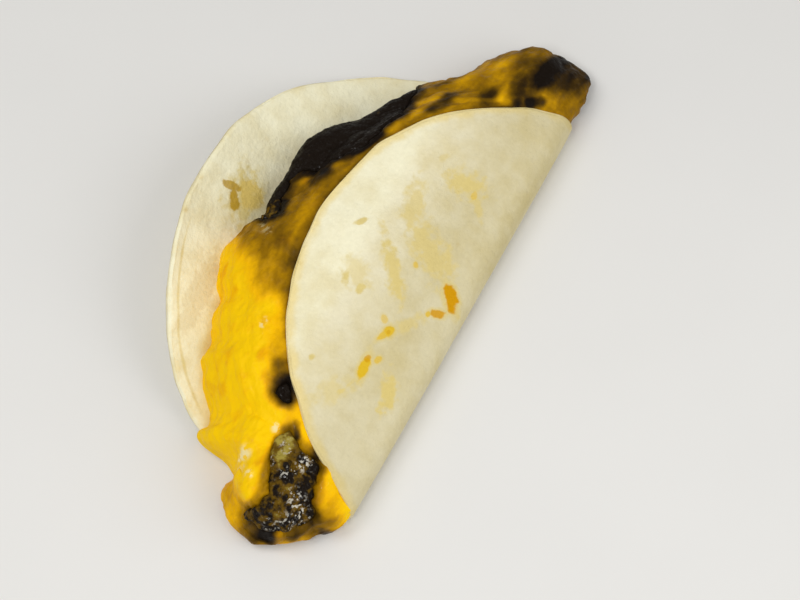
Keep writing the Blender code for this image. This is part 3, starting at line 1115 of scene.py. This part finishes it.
    def free_face(self, upper_end: Array, upper_before: Array, lower_end: Array) -> Array:
        """The free face: a cubic Bezier curve from the lower to the upper flap.

        Args:
            upper_end: Its last point, one for each section.
            upper_before: The point before that on the upper flap, which gives the slope.
            lower_end: Its first point.

        Returns:
            Points by place on the curve, without its two ends, and by section.
        """
        span = np.linalg.norm(upper_end - lower_end, axis=-1, keepdims=True)
        leaving = upper_end - upper_before
        leaving = leaving / np.linalg.norm(leaving, axis=-1, keepdims=True)
        share = np.linspace(0, 1, self.free_points + 2)[1:-1, None, None]
        handles = (
            lower_end,
            lower_end + self.bulge * span * np.array(self.meeting),
            upper_end + self.bulge * span * leaving,
            upper_end,
        )
        back = 1 - share
        weights = (back**3, 3 * share * back**2, 3 * share**2 * back, share**3)
        return sum(weight * handle for weight, handle in zip(weights, handles))

    def rings(self, x: Array) -> Array:
        """Sections with both ends narrowed to their tips by the outlines' shares.

        Args:
            x: X of the sections.

        Returns:
            Points by section, by place round it, by axis.
        """
        rings = self.sections(x)
        rings[..., 0] = x[:, None]
        ends = ((-1, self.near_outline, self.near_tip), (1, self.far_outline, self.far_tip))
        for side, outline, tip in ends:
            at, fold_share, mouth_share = np.array(outline).T
            past = side * x > self.body
            out = side * x[past, None]
            offset = rings[past][..., 1:] - tip
            fold = smooth_through(out, at, fold_share)
            mouth = smooth_through(out, at, mouth_share)
            offset[..., 0] *= np.where(offset[..., 0] < 0, fold, mouth)
            offset[..., 1] *= end_share(out, self.body, at[-1])
            rings[past, :, 1:] = tip + offset
        return rings

    def on_flaps(self, x: Array, margin: float) -> Array:
        """1 where the skin lies in the tortilla and 0 where it is free, by X and place round.

        Args:
            x: X of the rings.
            margin: How many points past the free face's ends still count as free.

        Returns:
            The shares, one row for each ring.
        """
        size = self.lower_points + self.free_points + self.upper_points - 1
        place = np.arange(size)
        inner = np.minimum(place - self.lower_points, self.lower_points + self.free_points - 1 - place)
        held = 1 - smooth_step((inner + margin) / 6)
        return held * (1 - smooth_step((np.abs(x[:, None]) - self.held_until) / self.held_fade))

    def skin(self, x: Array) -> tuple[Array, Array, Array]:
        """The skin pushed out to the beans where they swell past it, with its lobes, film and hole.

        Args:
            x: X of the rings.

        Returns:
            The rings, which are evened round near the tips, their outward normals, and how free
            of the flaps each point is, from 0 to 1.
        """
        rings, free = self.rings(x), 1 - self.on_flaps(x, self.margin)
        rings = self.log.swollen(rings, free)
        for place, radius, shift in self.lobes:
            distance = np.linalg.norm(rings - np.array(place), axis=-1, keepdims=True)
            rings = rings + np.exp(-((distance / radius) ** 2)) * np.array(shift)
        rings[..., 2] *= 1 - self.film_share * FILM.share(rings, self.film_soft)
        tips = smooth_step((np.abs(x) - self.even_from) / self.even_fade)[:, None, None]
        steps = range(-self.even_reach, self.even_reach + 1)
        evened = sum(np.roll(rings, step, axis=1) for step in steps) / len(steps)
        rings = rings + (evened - rings) * tips
        sunk = self.hole_depth * HOLE.share(rings, self.hole_soft) * free
        rings = rings - outward_normals(rings) * sunk[..., None]
        return rings, outward_normals(rings), free

    def room(self, rings: Array) -> Array:
        """How far the skin may sink at each ring: a share of the ring's half height."""
        height = rings[..., 2].max(axis=1) - rings[..., 2].min(axis=1)
        return np.minimum(self.deepest, self.deepest_share * height)[:, None]

    def bare(self, rings: Array) -> Array:
        """Where the beans lie bare: inside the patches, above the table and off the flaps.

        Args:
            rings: The skin's points.

        Returns:
            1 where bare and 0 where cheese covers, with a ragged edge between.
        """
        fray = self.fray * layered_noise(rings, self.fray_size, self.seed + 17)
        inset = np.max([patch.inset(rings) for patch in self.bare_patches], axis=0)
        seen = self.on_flaps(rings[:, 0, 0], self.bare_margin) < 0.5
        off_table = smooth_step(rings[..., 2] / self.bare_rise - 1.5)
        return smooth_step(0.5 + (inset + fray) / self.lip) * off_table * seen

    def flow(self, rings: Array) -> Array:
        """Places for noise that is drawn out along the fold.

        Args:
            rings: The skin's points.

        Returns:
            Shortened X, the way round the ring from the upper rim, and 0.
        """
        steps = np.linalg.norm(np.diff(rings, axis=1, prepend=rings[:, -1:]), axis=-1)
        way = np.cumsum(steps, axis=1)
        way -= way[:, self.lower_points + self.free_points][:, None]
        return np.stack([self.drawn_out * rings[..., 0], way, 0 * way], axis=-1)

    def stations(self, count: int, closer: Callable[[Array], Array]) -> Array:
        """X of the rings, closer together at both ends and where asked.

        Args:
            count: The number of rings.
            closer: How close they are to lie at an array of X.

        Returns:
            X, rising.
        """
        near, far = self.near_outline[-1][0], self.far_outline[-1][0]
        tip = (near + far) / 2

        def density(x: Array) -> Array:
            """What was asked, and an exponential rise at the tips."""
            return closer(x) + self.tip_crowd * np.exp((np.abs(x) - tip) / self.tip_length)

        return crowded(-near, far, count + 2, density)[1:-1]

    @staticmethod
    def moved(rings: Array, x: Array, offset: Array, drift: Array | float) -> Array:
        """Move rings, and keep each point near its ring's place.

        Args:
            rings: The points.
            x: X of the rings.
            offset: How far each point moves.
            drift: How far its X may then be from the ring's.

        Returns:
            The moved points.
        """
        rings = rings + offset
        rings[..., 0] = np.clip(rings[..., 0], x[:, None] - drift, x[:, None] + drift)
        return rings


# ---------------------------------------------------------------------------------------------
# Sub-assemblies
# ---------------------------------------------------------------------------------------------


@dataclass
class Tortilla:
    """The folded round sheet, with its rim rounded over half its thickness."""

    sheet: FoldedSheet = FoldedSheet()
    finish: TortillaFinish = TortillaFinish()
    rows: int = 236
    columns: int = 128
    rim_row: float = 0.0016
    wobble: float = 0.0007
    wobble_size: float = 0.014
    bump_height: float = 0.00022
    bump_size: float = 0.009
    blister_height: float = 0.00045
    blister_size: float = 0.016
    rim_drop: float = 0.0003
    golden_from: float = 0.0690
    golden_width: float = 0.0060
    soak_reach: float = 0.0505
    soak_length: float = 0.080
    soak_width: float = 0.0065
    # The painted shadow line just inside the rim.
    shadow_line_reach: float = 0.0718
    shadow_line_width: float = 0.0008
    seed: int = 21

    def row_density(self, along: Array) -> Array:
        """How close the rows lie: closer at the fold and, as exponentials, at both rims.

        Args:
            along: Distance along.

        Returns:
            The density.
        """
        first, last = self.sheet.ends()
        rims = np.exp((first - along) / self.rim_row) + np.exp((along - last) / self.rim_row)
        return 1.0 + 1.2 * bell(along / 0.009) + 5.0 * rims

    def relief(self, x: Array, along: Array, side: Array) -> Array:
        """Uneven dough: layered noise and a few wide blisters, faded where it lies on the table.

        Args:
            x: X on the sheet.
            along: Distance along.
            side: 1 on the inner face and -1 on the outer one.

        Returns:
            Height in metres.
        """
        flat = np.stack([x, along, 0.05 * side], axis=-1)
        bumps = self.bump_height * layered_noise(flat, self.bump_size, self.seed, 4)
        distance, value = nearest_seed(flat, self.blister_size, self.seed + 40)
        blisters = self.blister_height * smooth_step((value - 0.45) * 4) * bell(distance / 0.38)
        return (bumps + blisters) * (0.25 + 0.75 * self.sheet.off_table(along))

    def build(self) -> bpy.types.Object:
        """Make the sheet: rows across it, each running over the inner face and back over the outer.

        Returns:
            The piece.
        """
        shape = self.sheet
        first, last = shape.ends()
        rows = crowded(first, last, self.rows + 2, self.row_density)[1:-1]
        turn = np.linspace(0, 2 * pi, 2 * self.columns, endpoint=False)
        share = np.sin(pi / 2 * (1 - 2 * np.abs(turn / pi - 1)))
        side = np.sign(np.round(pi - turn, 6)) * (np.abs(share) < 1 - 1e-9)
        half_width = np.sqrt(shape.radius**2 - (rows - shape.middle_along) ** 2)
        x = half_width[:, None] * share
        ahead = np.broadcast_to((rows - shape.middle_along)[:, None], x.shape)
        reach = np.hypot(x, ahead)
        rounding = np.clip(1 - 2 * (shape.radius - reach) / shape.thickness, 0, 1)
        side = side * np.sqrt(1 - rounding**2)
        # The rim's wobble: noise round the sheet, felt only near the rim
        around = np.stack([x, ahead, 0 * x], axis=-1) / np.maximum(reach, 1e-9)[..., None]
        wave = layered_noise(around * shape.radius, self.wobble_size, self.seed + 3, 2)
        growth = 1 + self.wobble / shape.radius * wave * (reach / shape.radius) ** 8
        x, along = x * growth, shape.middle_along + ahead * growth
        lift = side * (shape.thickness / 2 - self.rim_drop * (reach / shape.radius) ** 6)
        lift = lift + self.relief(x, along, side) * np.where(side == 0, 0, 1)
        rings = shape.points(x, along, lift)
        rings[..., 2] = np.maximum(rings[..., 2], 0.0)
        poles = np.stack([shape.points(0.0, first), shape.points(0.0, last)])
        inner = smooth_step(side * 2) * (along > 0)
        golden = smooth_step((reach - self.golden_from) / self.golden_width)
        looks = {
            "sheet": np.stack([x * 1000, along * 1000, side], axis=-1),
            "rim": golden * (0.75 - 0.25 * np.sign(along)),
            "greasy_and_shaded": inner * self.grease_and_rim_shadow(x, along, reach),
            # Painted light: full on the lower flap's inner face, 0.8 toward the upper flap's rim.
            "pale": np.maximum(inner, 0.8 * smooth_step((-along - 0.033) / 0.008)),
            # Painted shade round the fold.
            "painted_fold_shade": self.painted_fold_shade(x, along),
            "under": smooth_step(-side * 2) * smooth_step(along * 200),
        }
        return closed_piece("folded_tortilla", rings, looks, poles)

    def painted_fold_shade(self, x: Array, along: Array) -> Array:
        """Painted shade round the fold, most at the far half, and a broad painted shade over the upper
        flap.

        Args:
            x: X on the sheet.
            along: Distance along.

        Returns:
            Shares from 0 to 1.
        """
        fold = bell((along + 0.003) / 0.0065) * (0.5 + 0.5 * smooth_step((x + 0.010) / 0.03))
        broad = smooth_step((along + 0.038) / 0.024) * smooth_step((0.010 - along) / 0.01)
        return np.maximum(fold, 0.66 * broad)

    def grease_and_rim_shadow(self, x: Array, along: Array, reach: Array) -> Array:
        """Fat soaked in beside the filling, most at the near half, and a painted shadow line inside the
        rim.

        Args:
            x: X on the sheet.
            along: Distance along.
            reach: Distance from the sheet's middle.

        Returns:
            Shares from 0 to 1.
        """
        oval = np.sqrt(np.clip(1 - (x / self.soak_length) ** 2, 0, 1))
        edge = self.sheet.middle_along + self.soak_reach * oval
        near = smooth_step((-x - 0.015) / 0.03)
        soaked = bell((along - edge) / self.soak_width) * (0.35 + 0.65 * near)
        # Painted shadow: a thin golden line just inside the rim on the near half.
        line = bell((reach - self.shadow_line_reach) / self.shadow_line_width) * smooth_step((-x - 0.005) / 0.02)
        return np.maximum(soaked, 0.9 * line)

    def dress(self, piece: bpy.types.Object) -> None:
        """Give the piece its finish and its place in the model.

        Args:
            piece: The finished mesh.
        """
        piece.data.materials.append(self.finish.material())
        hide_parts("tortilla")
        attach(piece, "root")


@dataclass
class Beans:
    """The heap of soft black beans, partly mashed."""

    filling: Filling = Filling(lower_points=16, free_points=160, upper_points=26)
    finish: BeanFinish = BeanFinish()
    rings: int = 460
    under_flaps: float = 0.0021
    spare: float = 0.0008
    drift: float = 0.0004
    bare_drift: float = 0.0030
    shrink: float = 0.30
    short: float = 0.0012
    hidden_from: float = 0.080
    off_table: float = 0.0004
    mash_near: float = 0.42
    bend: float = 0.0012
    bend_size: float = 0.005
    dome_size: float = 0.0060
    dome_reach: float = 0.78
    dome_height: float = 0.0016
    crumb_size: float = 0.0024
    crumb_height: float = 0.0006
    rough_size: float = 0.0030
    rough_height: float = 0.0003
    pimple_size: float = 0.0011
    pimple_height: float = 0.00022
    seed: int = 60
    olive_bands: tuple[Band, ...] = bands(
        (-64.0, 25.5, -68.5, 23.5, 3.6, 0.92), (-65.0, 27.8, -74.0, 24.7, 1.8, 0.60),
        (-7.0, 64.0, -1.0, 62.5, 3.0, 0.40), (-73.1, 22.5, -69.8, 23.2, 2.8, 0.60),
        (-78.3, 21.6, -81.7, 22.2, 2.2, 0.55), (-76.4, 17.1, -73.7, 15.2, 2.2, 0.50),
        (-84.9, 22.0, -81.5, 19.0, 2.0, 0.50), (-75.5, 24.5, -79.0, 23.0, 1.6, 0.45),
    )
    # Where glint specks are painted and the coat is raised.
    gloss_and_glint_bands: tuple[Band, ...] = bands(
        (-65.5, 24.0, -66.9, 22.6, 1.6, 0.8), (-66.9, 17.0, -68.7, 17.0, 2.0, 1.0),
        (-71.5, 18.1, -73.7, 19.7, 1.6, 0.8), (-77.5, 14.5, -80.0, 11.8, 2.6, 1.0),
        (-81.6, 12.1, -85.4, 15.1, 1.8, 0.8), (-86.6, 18.5, -84.6, 17.5, 1.4, 0.5),
        (-72.5, 24.5, -71.5, 25.0, 1.0, 0.7),
    )

    def relief(self, points: Array) -> Array:
        """Whole beans as rounded domes over scattered seeds, crumbs of broken ones and fine noise.

        Args:
            points: The heap's points, which smooth noise bends before the seeds are sought.

        Returns:
            Height in metres, lower away from the near end.
        """
        warped = bent(points, self.bend, self.bend_size, self.seed + 1)
        distance, value = nearest_seed(warped, self.dome_size, self.seed)
        domes = np.sqrt(np.clip(1 - (distance / self.dome_reach) ** 2, 0, 1))
        domes = domes * (0.6 + 0.4 * value) - 0.55
        crumb = np.clip(1 - nearest_seed(warped, self.crumb_size, self.seed + 20)[0] ** 2, 0, 1) - 0.6
        rough = self.rough_height * layered_noise(points, self.rough_size, self.seed + 30)
        pimples = self.pimple_height * layered_noise(points, self.pimple_size, self.seed + 50, 2)
        low = 1 - 0.55 * smooth_step((points[..., 0] + 0.03) / 0.01)
        return low * (self.dome_height * domes + self.crumb_height * crumb + rough + pimples)

    def build(self) -> bpy.types.Object:
        """Make the heap: the filling's skin, lumpy where it lies bare and sunk under cheese elsewhere.

        Where it is hidden near the tips it shrinks towards its rings' middles as well.

        Returns:
            The piece.
        """
        x = self.filling.stations(self.rings, self.ring_density)
        rings, normals, free = self.filling.skin(x)
        bare, room = self.filling.bare(rings), self.filling.room(rings)
        lift = bare * self.relief(rings) * (room / self.filling.deepest) - (1 - bare) * room
        lift = lift * free - self.under_flaps * (1 - free) * (1 - bare)
        drift = self.drift + self.bare_drift * bare
        rings = self.filling.moved(rings, x, normals * lift[..., None], drift)
        hidden = (1 - bare) * smooth_step((np.abs(x[:, None]) - self.hidden_from) / 0.006)
        outward = (rings - rings.mean(axis=1, keepdims=True))[..., 1:]
        rings[..., 1:] -= self.shrink * outward * hidden[..., None]
        rings[..., 0] -= self.short * np.sign(x[:, None]) * hidden
        middle, _, width, _ = self.filling.log.section(rings[..., 0])
        aside, limit = rings[..., 1] - middle, width + self.spare
        rings[..., 1] -= (1 - bare) * (aside - np.clip(aside, -limit, limit))
        rings[..., 2] = np.maximum(rings[..., 2], self.off_table)
        mash = self.mash_near * smooth_step((-x[:, None] - 0.056) / 0.004)
        olive = np.maximum(strongest(self.olive_bands, rings), mash)
        looks = {"olive": olive, "gloss_and_glint": strongest(self.gloss_and_glint_bands, rings)}
        return closed_piece("bean_heap", rings, looks)

    @staticmethod
    def ring_density(x: Array) -> Array:
        """How close the rings lie: closer where beans are bare, at the near end, hole and far band.

        Args:
            x: X along the heap.

        Returns:
            The density.
        """
        near = smooth_step((-x - 0.056) / 0.003)
        band = smooth_step((x + 0.012) / 0.004) * smooth_step((0.060 - x) / 0.004)
        hole = bell(((x + 0.052) / 0.005) ** 2)
        return 0.35 + 2.4 * near + 1.0 * band + 1.2 * hole

    def dress(self, piece: bpy.types.Object) -> None:
        """Give the piece its finish and its place in the model.

        Args:
            piece: The finished mesh.
        """
        piece.data.materials.append(self.finish.material())
        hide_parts("beans")
        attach(piece, "root")


FAR_ZONE = traced(27.0, (0.447, 0.318), (
    (-26.0, 76.0), (-20.2, 66.6), (-22.8, 62.0), (-25.2, 58.8), (-29.0, 54.5), (-30.5, 49.1),
    (-30.0, 45.0), (-33.0, 40.0), (-44.0, 30.0), (-30.0, 20.0), (120.0, -40.0), (130.0, 80.0),
    (0.0, 100.0),
))


@dataclass
class Cheese:
    """The melted cheese that lines the fold, closes over the beans and spills out at both ends."""

    filling: Filling = Filling()
    finish: CheeseFinish = CheeseFinish()
    rings: int = 385
    lump_size: float = 0.0060
    lump_height: float = 0.00050
    streak_size: float = 0.0026
    streak_height: float = 0.00020
    ripple_size: float = 0.0014
    ripple_height: float = 0.00012
    smear_streak: float = 0.0034
    smear_blot: float = 0.0058
    sink: float = 0.0016
    flap_sink: float = 0.0030
    rim_clear: float = 0.0025
    drift: float = 0.0008
    seed: int = 90
    swells: tuple[tuple[Band, float], ...] = (
        (Band((-0.064, 0.034), (-0.081, 0.0295), 0.0030), 0.0011),
        (Band((-0.064, 0.012), (-0.076, 0.0055), 0.0030), 0.0010),
    )
    bend: float = 0.0009
    bend_size: float = 0.0042
    # Darker cheese round the bare patches where it thins over the beans; round the hole it is painted
    # shade of the recess.
    halos: tuple[tuple[Patch, float, float], ...] = (
        (NEAR_POCKET, 0.0034, 0.52),
        (FAR_BAND, 0.0030, 0.40),
        (HOLE, 0.0048, 0.85),
    )
    far_soft: float = 0.011
    # The rim share is a painted shadow of the cheese along the upper flap's rim; the far share is bean
    # through thin cheese and painted shade.
    rim_shadow_width: float = 0.0024
    far_smear_and_shade: float = 0.56
    film_smear: float = 0.28
    rim_shadow: float = 0.31
    # Dark bands: bean smeared into the cheese, and painted shade beside the hole and along the upper
    # flap's rim.
    smears_and_shade: tuple[Band, ...] = bands(
        (-10.0, 60.0, -7.0, 60.0, 3.0, 0.06), (-5.0, 60.0, -0.8, 60.0, 2.2, 0.26),
        (9.7, 55.7, 12.7, 53.4, 2.2, 0.28), (9.1, 51.3, 9.4, 51.1, 1.6, 0.12),
        (23.8, 48.9, 31.1, 46.1, 2.2, 0.28), (47.0, 36.2, 56.5, 34.5, 2.2, 0.30),
        (59.3, 25.6, 63.0, 24.7, 2.2, 0.26), (64.8, 17.7, 73.4, 19.9, 2.0, 0.22),
        (66.7, 13.1, 69.7, 11.5, 1.6, 0.35), (79.0, 14.5, 89.0, 6.0, 7.0, 0.34),
        (70.0, 30.0, 77.0, 22.0, 5.0, -0.05), (-51.0, 36.8, -47.2, 35.2, 2.6, 0.32),
        (-38.0, 37.0, -27.0, 44.0, 2.2, 0.08), (-29.0, 45.0, -17.0, 50.0, 3.2, 0.14),
        (-26.2, 53.0, -29.0, 49.0, 4.0, 0.10), (-89.2, 25.0, -87.8, 19.0, 2.8, 0.30),
        (-87.8, 19.0, -84.8, 12.2, 2.0, 0.18), (-83.5, 10.0, -76.5, 5.2, 2.4, 0.15),
        (-76.0, 8.0, -70.0, 6.0, 3.4, 0.10), (-80.0, 33.0, -84.0, 29.0, 4.0, 0.04),
        (-57.0, 26.2, -61.5, 26.2, 2.0, 0.22), (-78.5, 6.0, -74.5, 2.2, 1.2, 0.24),
        (-59.2, 23.8, -62.2, 22.2, 1.3, 0.42), (-62.0, 17.5, -66.0, 11.5, 1.6, 0.16),
        (42.0, 40.5, 44.0, 40.0, 3.0, -0.08), (-36.5, 39.5, -47.0, 33.5, 5.0, 0.26),
        (-40.0, 38.5, -45.0, 35.8, 3.6, 0.10), (-78.9, 8.0, -75.0, 4.8, 3.2, 0.14),
        (-74.5, 7.2, -71.1, 7.0, 2.6, 0.09),
    )
    clearings: tuple[Band, ...] = bands(
        (34.2, 44.0, 55.1, 38.4, 2.2, 0.17), (56.4, 33.3, 58.7, 29.4, 1.8, 0.10),
        (62.4, 20.3, 65.4, 16.3, 2.0, 0.20), (69.7, 15.3, 73.4, 11.7, 1.8, 0.12),
        (64.1, 36.3, 83.8, 21.3, 2.2, 0.10), (-15.0, 49.5, 0.0, 52.0, 2.8, 0.10),
        (-20.0, 57.0, -26.2, 46.2, 4.5, 0.07), (8.5, 60.5, 9.7, 59.8, 1.3, 0.12),
        (-88.6, 18.0, -87.4, 15.2, 2.4, 0.24), (-86.6, 14.5, -85.0, 12.5, 2.2, 0.12),
        (-70.0, 28.4, -65.5, 29.0, 2.2, 0.20), (-84.2, 26.0, -86.4, 25.4, 2.0, 0.16),
    )
    # Where glint specks are painted and the coat is raised.
    gloss_and_glint_bands: tuple[Band, ...] = bands(
        (-71.8, 33.3, -72.4, 32.1, 1.4, 1.0), (-62.6, 28.9, -63.2, 28.5, 1.0, 1.0),
        (-37.4, 45.8, -39.0, 45.9, 0.8, 0.9), (-72.3, 33.2, -72.9, 33.8, 1.0, 0.9),
        (-76.2, 31.8, -75.7, 32.2, 1.0, 1.0), (-77.6, 28.3, -77.0, 28.7, 0.9, 0.9),
        (-10.8, 62.5, -11.8, 59.0, 1.4, 0.35),
    )

    def relief(self, points: Array, flow: Array) -> Array:
        """Soft lumps, streaks drawn out along the fold and fine ripples: three layered noises.

        Args:
            points: The skin's points.
            flow: Their places for noise that is drawn out.

        Returns:
            Height in metres.
        """
        lumps = self.lump_height * layered_noise(points, self.lump_size, self.seed)
        streaks = self.streak_height * layered_noise(flow, self.streak_size, self.seed + 11)
        ripples = self.ripple_height * layered_noise(points, self.ripple_size, self.seed + 22)
        return lumps + streaks + ripples

    def smear(self, points: Array, flow: Array) -> Array:
        """How dark the cheese is: the far zone, halos, film, rim and bands, with noise in it; partly
        bean showing through and partly painted shade.

        Args:
            points: The skin's points.
            flow: Their places for noise that is drawn out.

        Returns:
            A place on the cheese's colour ramp: 0 is clear yellow and 1 nearly black.
        """
        place = bent(points, self.bend, self.bend_size, self.seed + 51)
        # The far zone: bean through thin cheese with painted shade; along the upper rim, a painted
        # shadow.
        zone = smooth_step(0.4 + FAR_ZONE.inset(place) / self.far_soft)
        smear = self.far_smear_and_shade * zone + self.rim_shadow * bell(flow[..., 1] / self.rim_shadow_width)
        smear += self.film_smear * FILM.share(points, self.filling.film_soft)
        for patch, reach, amount in self.halos:
            smear += amount * smooth_step(1 + patch.inset(place) / reach)
        for sign, group in ((1, self.smears_and_shade), (-1, self.clearings)):
            smear += sign * sum(band.share(place) for band in group)
        streaks = layered_noise(flow, self.smear_streak, self.seed + 31)
        blots = layered_noise(points, self.smear_blot, self.seed + 41)
        return smear + (0.04 + 0.06 * zone) * (streaks + 0.8 * blots)

    @staticmethod
    def ring_density(x: Array) -> Array:
        """How close the rings lie: nearly twice as close at the near end."""
        return 1.0 + 0.9 * smooth_step((-x - 0.058) / 0.01)

    def build(self) -> bpy.types.Object:
        """Make the cheese: the filling's skin with relief, sunk out of sight where the beans lie bare.

        The relief stays low beside the upper flap's rim, so that it doesn't pass through the rim.

        Returns:
            The piece.
        """
        x = self.filling.stations(self.rings, self.ring_density)
        rings, normals, free = self.filling.skin(x)
        bare, room, flow = self.filling.bare(rings), self.filling.room(rings), self.filling.flow(rings)
        looks = {"smear": self.smear(rings, flow), "gloss_and_glint": strongest(self.gloss_and_glint_bands, rings)}
        lift = self.relief(rings, flow) + sum(rise * band.share(rings) for band, rise in self.swells)
        lift = np.where(lift > 0, lift * (1 - 0.9 * bell(flow[..., 1] / self.rim_clear)), lift)
        lift = lift * (1 - bare) * (room / self.filling.deepest) - bare * np.minimum(self.sink, room)
        lift = lift * free - self.flap_sink * bare * (1 - free)
        rings = self.filling.moved(rings, x, normals * lift[..., None], self.drift)
        rings[..., 2] = np.maximum(rings[..., 2], 0.0)
        return closed_piece("melted_cheese", rings, looks)

    def dress(self, piece: bpy.types.Object) -> None:
        """Give the piece its finish and its place in the model.

        Args:
            piece: The finished mesh.
        """
        piece.data.materials.append(self.finish.material())
        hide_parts("cheese")
        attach(piece, "root")


@dataclass
class Studio:
    """A pale table, soft light and a camera at the photograph's viewing angle."""

    azimuth: float = radians(-55.46)
    elevation: float = radians(61.69)
    distance: float = 0.61179
    floor_target: Place = (-0.01174, 0.05668, 0.0)
    aim: Place = (-0.0071, 0.0190, 0.010)
    lens: float = 92.5
    floor_half: float = 0.9
    sky: Color = (1.0, 0.99, 0.97)
    sky_strength: float = 0.37
    lights: tuple[tuple[str, Place, float, float], ...] = (
        ("key", (-0.20, 0.22, 0.68), 0.40, 1.50),
        ("spark", (-0.38, -0.05, 0.62), 0.14, 1.0),
        ("fill", (0.06, -0.58, 0.46), 0.60, 1.95),
    )

    def build(self) -> bpy.types.Object:
        """Make the table, the lights, the sky and the camera.

        Returns:
            The table.
        """
        self.add_camera()
        for light in self.lights:
            self.add_light(*light)
        world = bpy.data.worlds.new("soft_sky")
        world.use_nodes = True
        background = world.node_tree.nodes["Background"]
        background.inputs["Color"].default_value = (*self.sky, 1.0)
        background.inputs["Strength"].default_value = self.sky_strength
        bpy.context.scene.world = world
        bpy.context.scene.view_settings.view_transform = "Standard"
        corners = self.floor_half * np.array([[-1, -1, 0], [1, -1, 0], [1, 1, 0], [-1, 1, 0]])
        floor = add_piece("table", corners, [np.array([[0, 1, 2, 3]])], {})
        floor.data.materials.append(FloorFinish().material())
        return floor

    def add_camera(self) -> None:
        """Put the camera where the photograph was taken from, turned to the taco and zoomed in."""
        level = cos(self.elevation)
        back = Vector((sin(self.azimuth) * level, -cos(self.azimuth) * level, sin(self.elevation)))
        shift = Vector(packed_shift())
        camera = bpy.data.objects.new("camera", bpy.data.cameras.new("camera"))
        camera.location = Vector(self.floor_target) + back * self.distance + shift
        toward = Vector(self.aim) + shift - camera.location
        camera.rotation_euler = toward.to_track_quat("-Z", "Y").to_euler()
        camera.data.lens = self.lens
        camera.data.sensor_width = 36.0
        camera.data.clip_start = 0.01
        bpy.context.scene.collection.objects.link(camera)
        bpy.context.scene.camera = camera

    def add_light(self, name: str, place: Place, size: float, power: float) -> None:
        """Put a square soft box up, facing the taco.

        Args:
            name: Its name.
            place: Where it stands.
            size: Its side, in metres.
            power: Its power, in watts.
        """
        light = bpy.data.lights.new(name, "AREA")
        light.size = size
        light.energy = power
        lamp = bpy.data.objects.new(name, light)
        lamp.location = place
        lamp.rotation_euler = (-Vector(place)).to_track_quat("-Z", "Y").to_euler()
        bpy.context.scene.collection.objects.link(lamp)


def main() -> None:
    """Build every piece, dress it and report it."""
    logging.basicConfig(level=logging.INFO, format="%(name)s: %(message)s")
    for assembly in (Tortilla(), Beans(), Cheese()):
        piece = assembly.build()
        assembly.dress(piece)
        triangles = sum(len(face.vertices) - 2 for face in piece.data.polygons)
        LOG.info("%s: %d triangles", piece.name, triangles)
    Studio().build()
    LOG.info("table, lights and camera in place")


if __name__ == "__main__":
    main()
